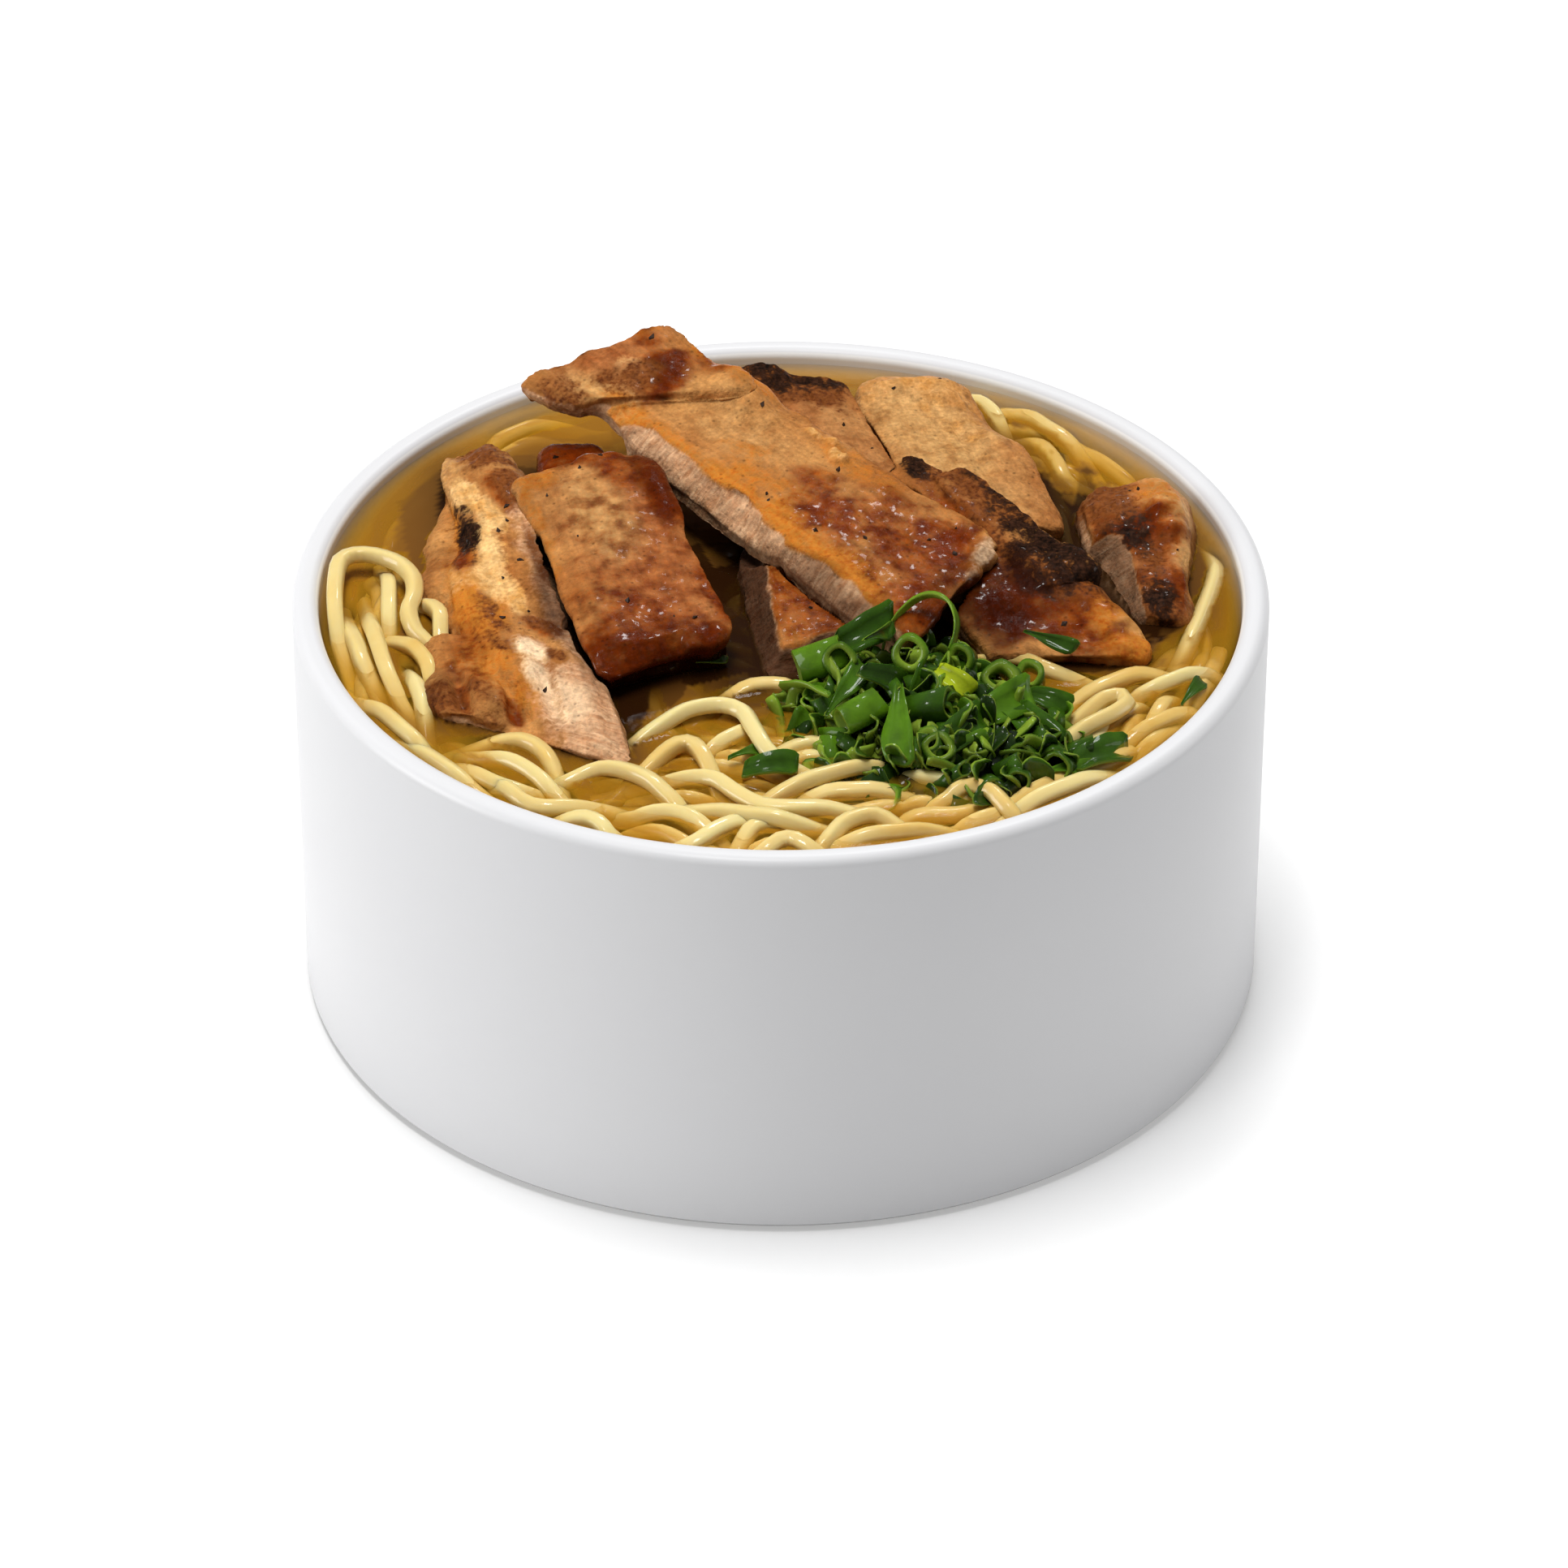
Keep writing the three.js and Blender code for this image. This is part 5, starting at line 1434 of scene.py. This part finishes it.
class SOUP_OT_onion(bpy.types.Operator):
    """Heaps the chopped spring onion on the noodles"""
    bl_idname = "soup.onion"
    bl_label = "Spring onion"

    def execute(self, context):
        settings = context.scene.soup_onion
        coat = spring_onion()
        mound = onion_mound(coat)
        kinds = [
            tube_wall("ringA", 2.6, 0.7, 2.6, bend=0.08),
            tube_wall("tubeA", 2.1, 0.6, 6, bend=-0.1, slant=0.2),
            leaf_strip("stripA", 9, 4.2, 0.45, 0.9, cup=1), leaf_strip("stripB", 7, 5, 0.45, 0.8, cup=1.3),
            leaf_strip("stripC", 10, 3.2, 0.45, 0.8, cup=0.7, point=0.6),
            leaf_strip("stripD", 8, 4.4, 0.45, 1.3, cup=1.2, point=0),
        ]
        ground = upper_faces("onion_ground", [mound], SURFACE - 3, 0.3, 0.4)
        pieces = scattered("onion_pieces", ground, coat, kinds, settings.rings, 0.62, 1.1, settings.seed)
        bpy.data.objects.remove(ground)
        pieces.data.shade_smooth()
        serve(placed_leaves(coat), "spring_onion", "spring_onion")
        serve(mound, "spring_onion", "spring_onion")
        serve(pieces, "spring_onion", "spring_onion")
        return {"FINISHED"}


# Broth

def clear_broth(colour):
    """Chicken broth with a little fat: gold where it is shallow, amber to brown where it is deep."""
    coat = Coat("clear_broth")
    cover = coat.attribute("cover")
    gold = coat.blend(coat.ranged(cover, 0.1, 0.6), linear(0xDDA72A), linear(0xB47C18))
    deep = coat.blend(coat.speckle(22), colour, linear(0x8A6028))
    tint = coat.blend(coat.ranged(cover, 0.55, 0.95), gold, deep)
    # Painted shade, and some juice from the roast, darkens the broth round and under the meat.
    tint = coat.blend(coat.attribute("juice"), tint, linear(0x1A0803))
    return coat.finish(Base_Color=tint, Alpha=cover, Normal=coat.bump(coat.speckle(7, 2), 0.2, 0.3),
                       Roughness=0.06, IOR=1.34, Specular_IOR_Level=0.2)


# In mm: the broth keeps BROTH_GAP off the bowl. It climbs by CLIMB along whatever stands in it and levels
# out over CLIMB_REACH. Its depth counts as no more than WALL_SLOPE times the way to the wall, and as
# BOTTOMLESS where nothing lies under it.
BROTH_GAP = 0.05
CLIMB = 0.35
CLIMB_REACH = 0.7
WALL_SLOPE = 1.2
BOTTOMLESS = 30
# Juice and painted shade darken it within MEAT_REACH of a slice, most, as painted shade, where meat stands
# all round within SHUT_REACH, and in one round pool of painted shadow between the slices.
MEAT_REACH = 12
SHUT_REACH = 16
SHADOW_POOL = (-5, -24)
SHADOW_POOL_REACH = 11
JUICE_AND_SHADE_DARKNESS = 4


def closed_in(meat, at, reach, turns=10):
    """The share of the directions round a place of the surface in which meat stands within reach."""
    hits = 0
    for i in range(turns):
        angle = 2 * math.pi * (i + 0.5) / turns
        aim = Vector((math.cos(angle), math.sin(angle), 0.25)).normalized()
        hits += meat.ray_cast(at, aim, reach)[0] is not None
    return hits / turns


def broth_points(radius, steps, rings):
    """Rings of points over the broth's surface, down its side and round under it."""
    bottom = FLOOR + BROTH_GAP
    corner = CAVITY_CORNER - BROTH_GAP
    levels = [(r, SURFACE) for r in np.linspace(0, radius, rings + 1)[1:]]
    levels += [(radius, SURFACE - d) for d in (1, 2, 4, 7, 12, 20, 32)]
    turn = arc(radius - corner, FLOOR + CAVITY_CORNER, corner, 0, -90, 6)
    levels += [(r, max(z, bottom)) for r, z in turn]
    poles = [(0, 0, SURFACE), (0, 0, bottom)]
    return np.array(poles + [spot for level in levels for spot in ring(*level, steps)])


def juice_and_shade_at(at, meat):
    """How much juice and painted shade darken a place of the surface, 0 to 1."""
    near = meat.find_nearest(at, MEAT_REACH * MM)
    juice = 0
    if near[0] is not None:
        # Painted shade: darker where meat closes the place in all round.
        shut = smoothstep(0.3, 0.72, closed_in(meat, at, SHUT_REACH * MM))
        juice = min(0.96, 0.5 * math.exp(-near[3] / MM / 5) + 0.95 * shut)
    return juice


class SOUP_OT_broth(bpy.types.Operator):
    """Pours the broth round everything in the bowl, clearer where it is shallow"""
    bl_idname = "soup.broth"
    bl_label = "Broth"

    def execute(self, context):
        settings = context.scene.soup_broth
        radius = CAVITY_RADIUS - BROTH_GAP
        steps, rings = ((420, 96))
        points = broth_points(radius, steps, rings)
        food = search_tree(o.data for o in context.scene.objects if o.type == "MESH" and o.get("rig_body")
                           and "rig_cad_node" not in o and o.name != "bowl_body")
        meat = packed_meat()
        deep = np.zeros(len(points))
        climb = np.zeros(len(points))
        juice = np.zeros(len(points))
        down = Vector((0, 0, -1))
        for i, spot in enumerate(points):
            if spot[2] < SURFACE - 1e-6:
                deep[i] = (SURFACE - spot[2]) / 1.6
                continue
            at = Vector(spot * MM)
            hit, normal, _, away = food.ray_cast(at, down)
            depth = BOTTOMLESS if hit is None else (0 if normal.z < 0 else away / MM)
            wall = radius - math.hypot(spot[0], spot[1])
            deep[i] = min(depth, WALL_SLOPE * wall + 0.3)
            near = food.find_nearest(at, 2.5 * MM)
            gap = min(near[3] / MM if near[0] is not None else 9, wall)
            climb[i] = CLIMB * math.exp(-gap / CLIMB_REACH)
            # A round pool of painted shadow between the slices.
            pool = math.dist(spot[:2], SHADOW_POOL) / SHADOW_POOL_REACH
            juice[i] = max(juice_and_shade_at(at, meat), 0.9 * math.exp(-pool * pool))
        points[:, 2] += climb
        clarity = settings.clarity / MM
        cover = np.clip(1 - np.exp(-deep / clarity * (1 + JUICE_AND_SHADE_DARKNESS * juice)), 0.1, 1)
        faces = ring_faces((len(points) - 2) // steps, steps)
        broth = mesh_object("broth_body", points, faces, clear_broth(tuple(settings.colour)))
        paint(broth.data, "cover", cover, "FLOAT")
        paint(broth.data, "juice", juice, "FLOAT")
        serve(broth, "broth", "broth")
        return {"FINISHED"}


# Stage

def opal_table():
    """An opal acrylic light table: matt, pale and evenly lit from below, so that its shadows stay faint."""
    coat = Coat("opal_acrylic")
    tint = coat.blend(coat.speckle(2, 2), linear(0xDADADA), linear(0xD6D6D6))
    return coat.finish(Base_Color=tint, Roughness=0.9, Specular_IOR_Level=0.1,
                       Emission_Color=linear(0xFFFFFF), Emission_Strength=0.36)


# The soft lights: name, side in m, power in W and place in m.
LIGHTS = [("top_box", 0.6, 17.4, (-0.1, 0.15, 1.4)), ("glint_box", 0.22, 3, (-0.15, -0.3, 1.3)),
          ("left_box", 0.7, 7, (-1.2, -0.25, 0.3)), ("right_box", 0.5, 1.2, (1.1, 0.1, 0.3)),
          ("back_spot", 0.2, 1.7, (0.12, 0.75, 1.0))]
TABLE_REACH = 3000


def facing(name, data, place, target):
    """A light or a camera, placed so that it faces a point."""
    made = bpy.data.objects.new(name, data)
    made.location = place
    made.rotation_euler = (Vector(target) - Vector(place)).to_track_quat("-Z", "Y").to_euler()
    bpy.context.scene.collection.objects.link(made)
    return made


def soft_light(name, size, energy, place, target):
    """A square soft box that faces a point."""
    lamp = bpy.data.lights.new(name, "AREA")
    lamp.shape = "SQUARE"
    lamp.size = size
    lamp.energy = energy
    return facing(name, lamp, place, target)


class SOUP_OT_stage(bpy.types.Operator):
    """Sets the floor, the soft lights and the camera"""
    bl_idname = "soup.stage"
    bl_label = "Stage"

    def execute(self, context):
        settings = context.scene.soup_stage
        corners = [(x * TABLE_REACH, y * TABLE_REACH, 0) for x, y in ((-1, -1), (1, -1), (1, 1), (-1, 1))]
        floor = mesh_object("floor", corners, [(0, 1, 2, 3)], opal_table(), smooth=False)
        target = Vector(settings.target)
        # Seen from above the broth would mirror the big box as a grey sheet, so only the small ones shine.
        for name, *light in LIGHTS:
            soft_light(name, *light, target).visible_glossy = name != "top_box"
        world = bpy.data.worlds.new("studio")
        world.use_nodes = True
        world.node_tree.nodes["Background"].inputs["Color"].default_value = linear(0xFFFFFF)
        world.node_tree.nodes["Background"].inputs["Strength"].default_value = 0.12
        context.scene.world = world
        context.scene.view_settings.view_transform = "Standard"
        camera = bpy.data.cameras.new("camera")
        camera.lens = settings.lens
        camera.sensor_width = 36
        camera.clip_start = 0.05
        away = Vector((0, -math.cos(settings.elevation), math.sin(settings.elevation)))
        context.scene.camera = facing("camera", camera, target + away * settings.distance, target)
        return {"FINISHED"}


class SOUP_PT_panel(bpy.types.Panel):
    """The soup's steps in order, each with its settings under its button"""
    bl_label = "Noodle soup"
    bl_idname = "SOUP_PT_panel"
    bl_space_type = "VIEW_3D"
    bl_region_type = "UI"
    bl_category = "Noodle soup"

    def draw(self, context):
        for held, (group, operator) in STEPS.items():
            box = self.layout.box()
            box.operator(operator.bl_idname)
            for name in group.__annotations__:
                box.prop(getattr(context.scene, held), name)


# The steps in order: where a step's settings are held, their class and the step's operator.
STEPS = {
    "soup_bowl": (BowlSettings, SOUP_OT_bowl),
    "soup_noodles": (NoodleSettings, SOUP_OT_noodles),
    "soup_chicken": (ChickenSettings, SOUP_OT_chicken),
    "soup_onion": (OnionSettings, SOUP_OT_onion),
    "soup_broth": (BrothSettings, SOUP_OT_broth),
    "soup_stage": (StageSettings, SOUP_OT_stage),
}


def register():
    for held, (group, operator) in STEPS.items():
        bpy.utils.register_class(group)
        bpy.utils.register_class(operator)
        setattr(bpy.types.Scene, held, bpy.props.PointerProperty(type=group))
    bpy.utils.register_class(SOUP_PT_panel)


def unregister():
    bpy.utils.unregister_class(SOUP_PT_panel)
    for held, (group, operator) in reversed(STEPS.items()):
        delattr(bpy.types.Scene, held)
        bpy.utils.unregister_class(operator)
        bpy.utils.unregister_class(group)


def main():
    register()
    for _, operator in STEPS.values():
        getattr(bpy.ops.soup, operator.bl_idname.removeprefix("soup."))()


if __name__ == "__main__":
    main()
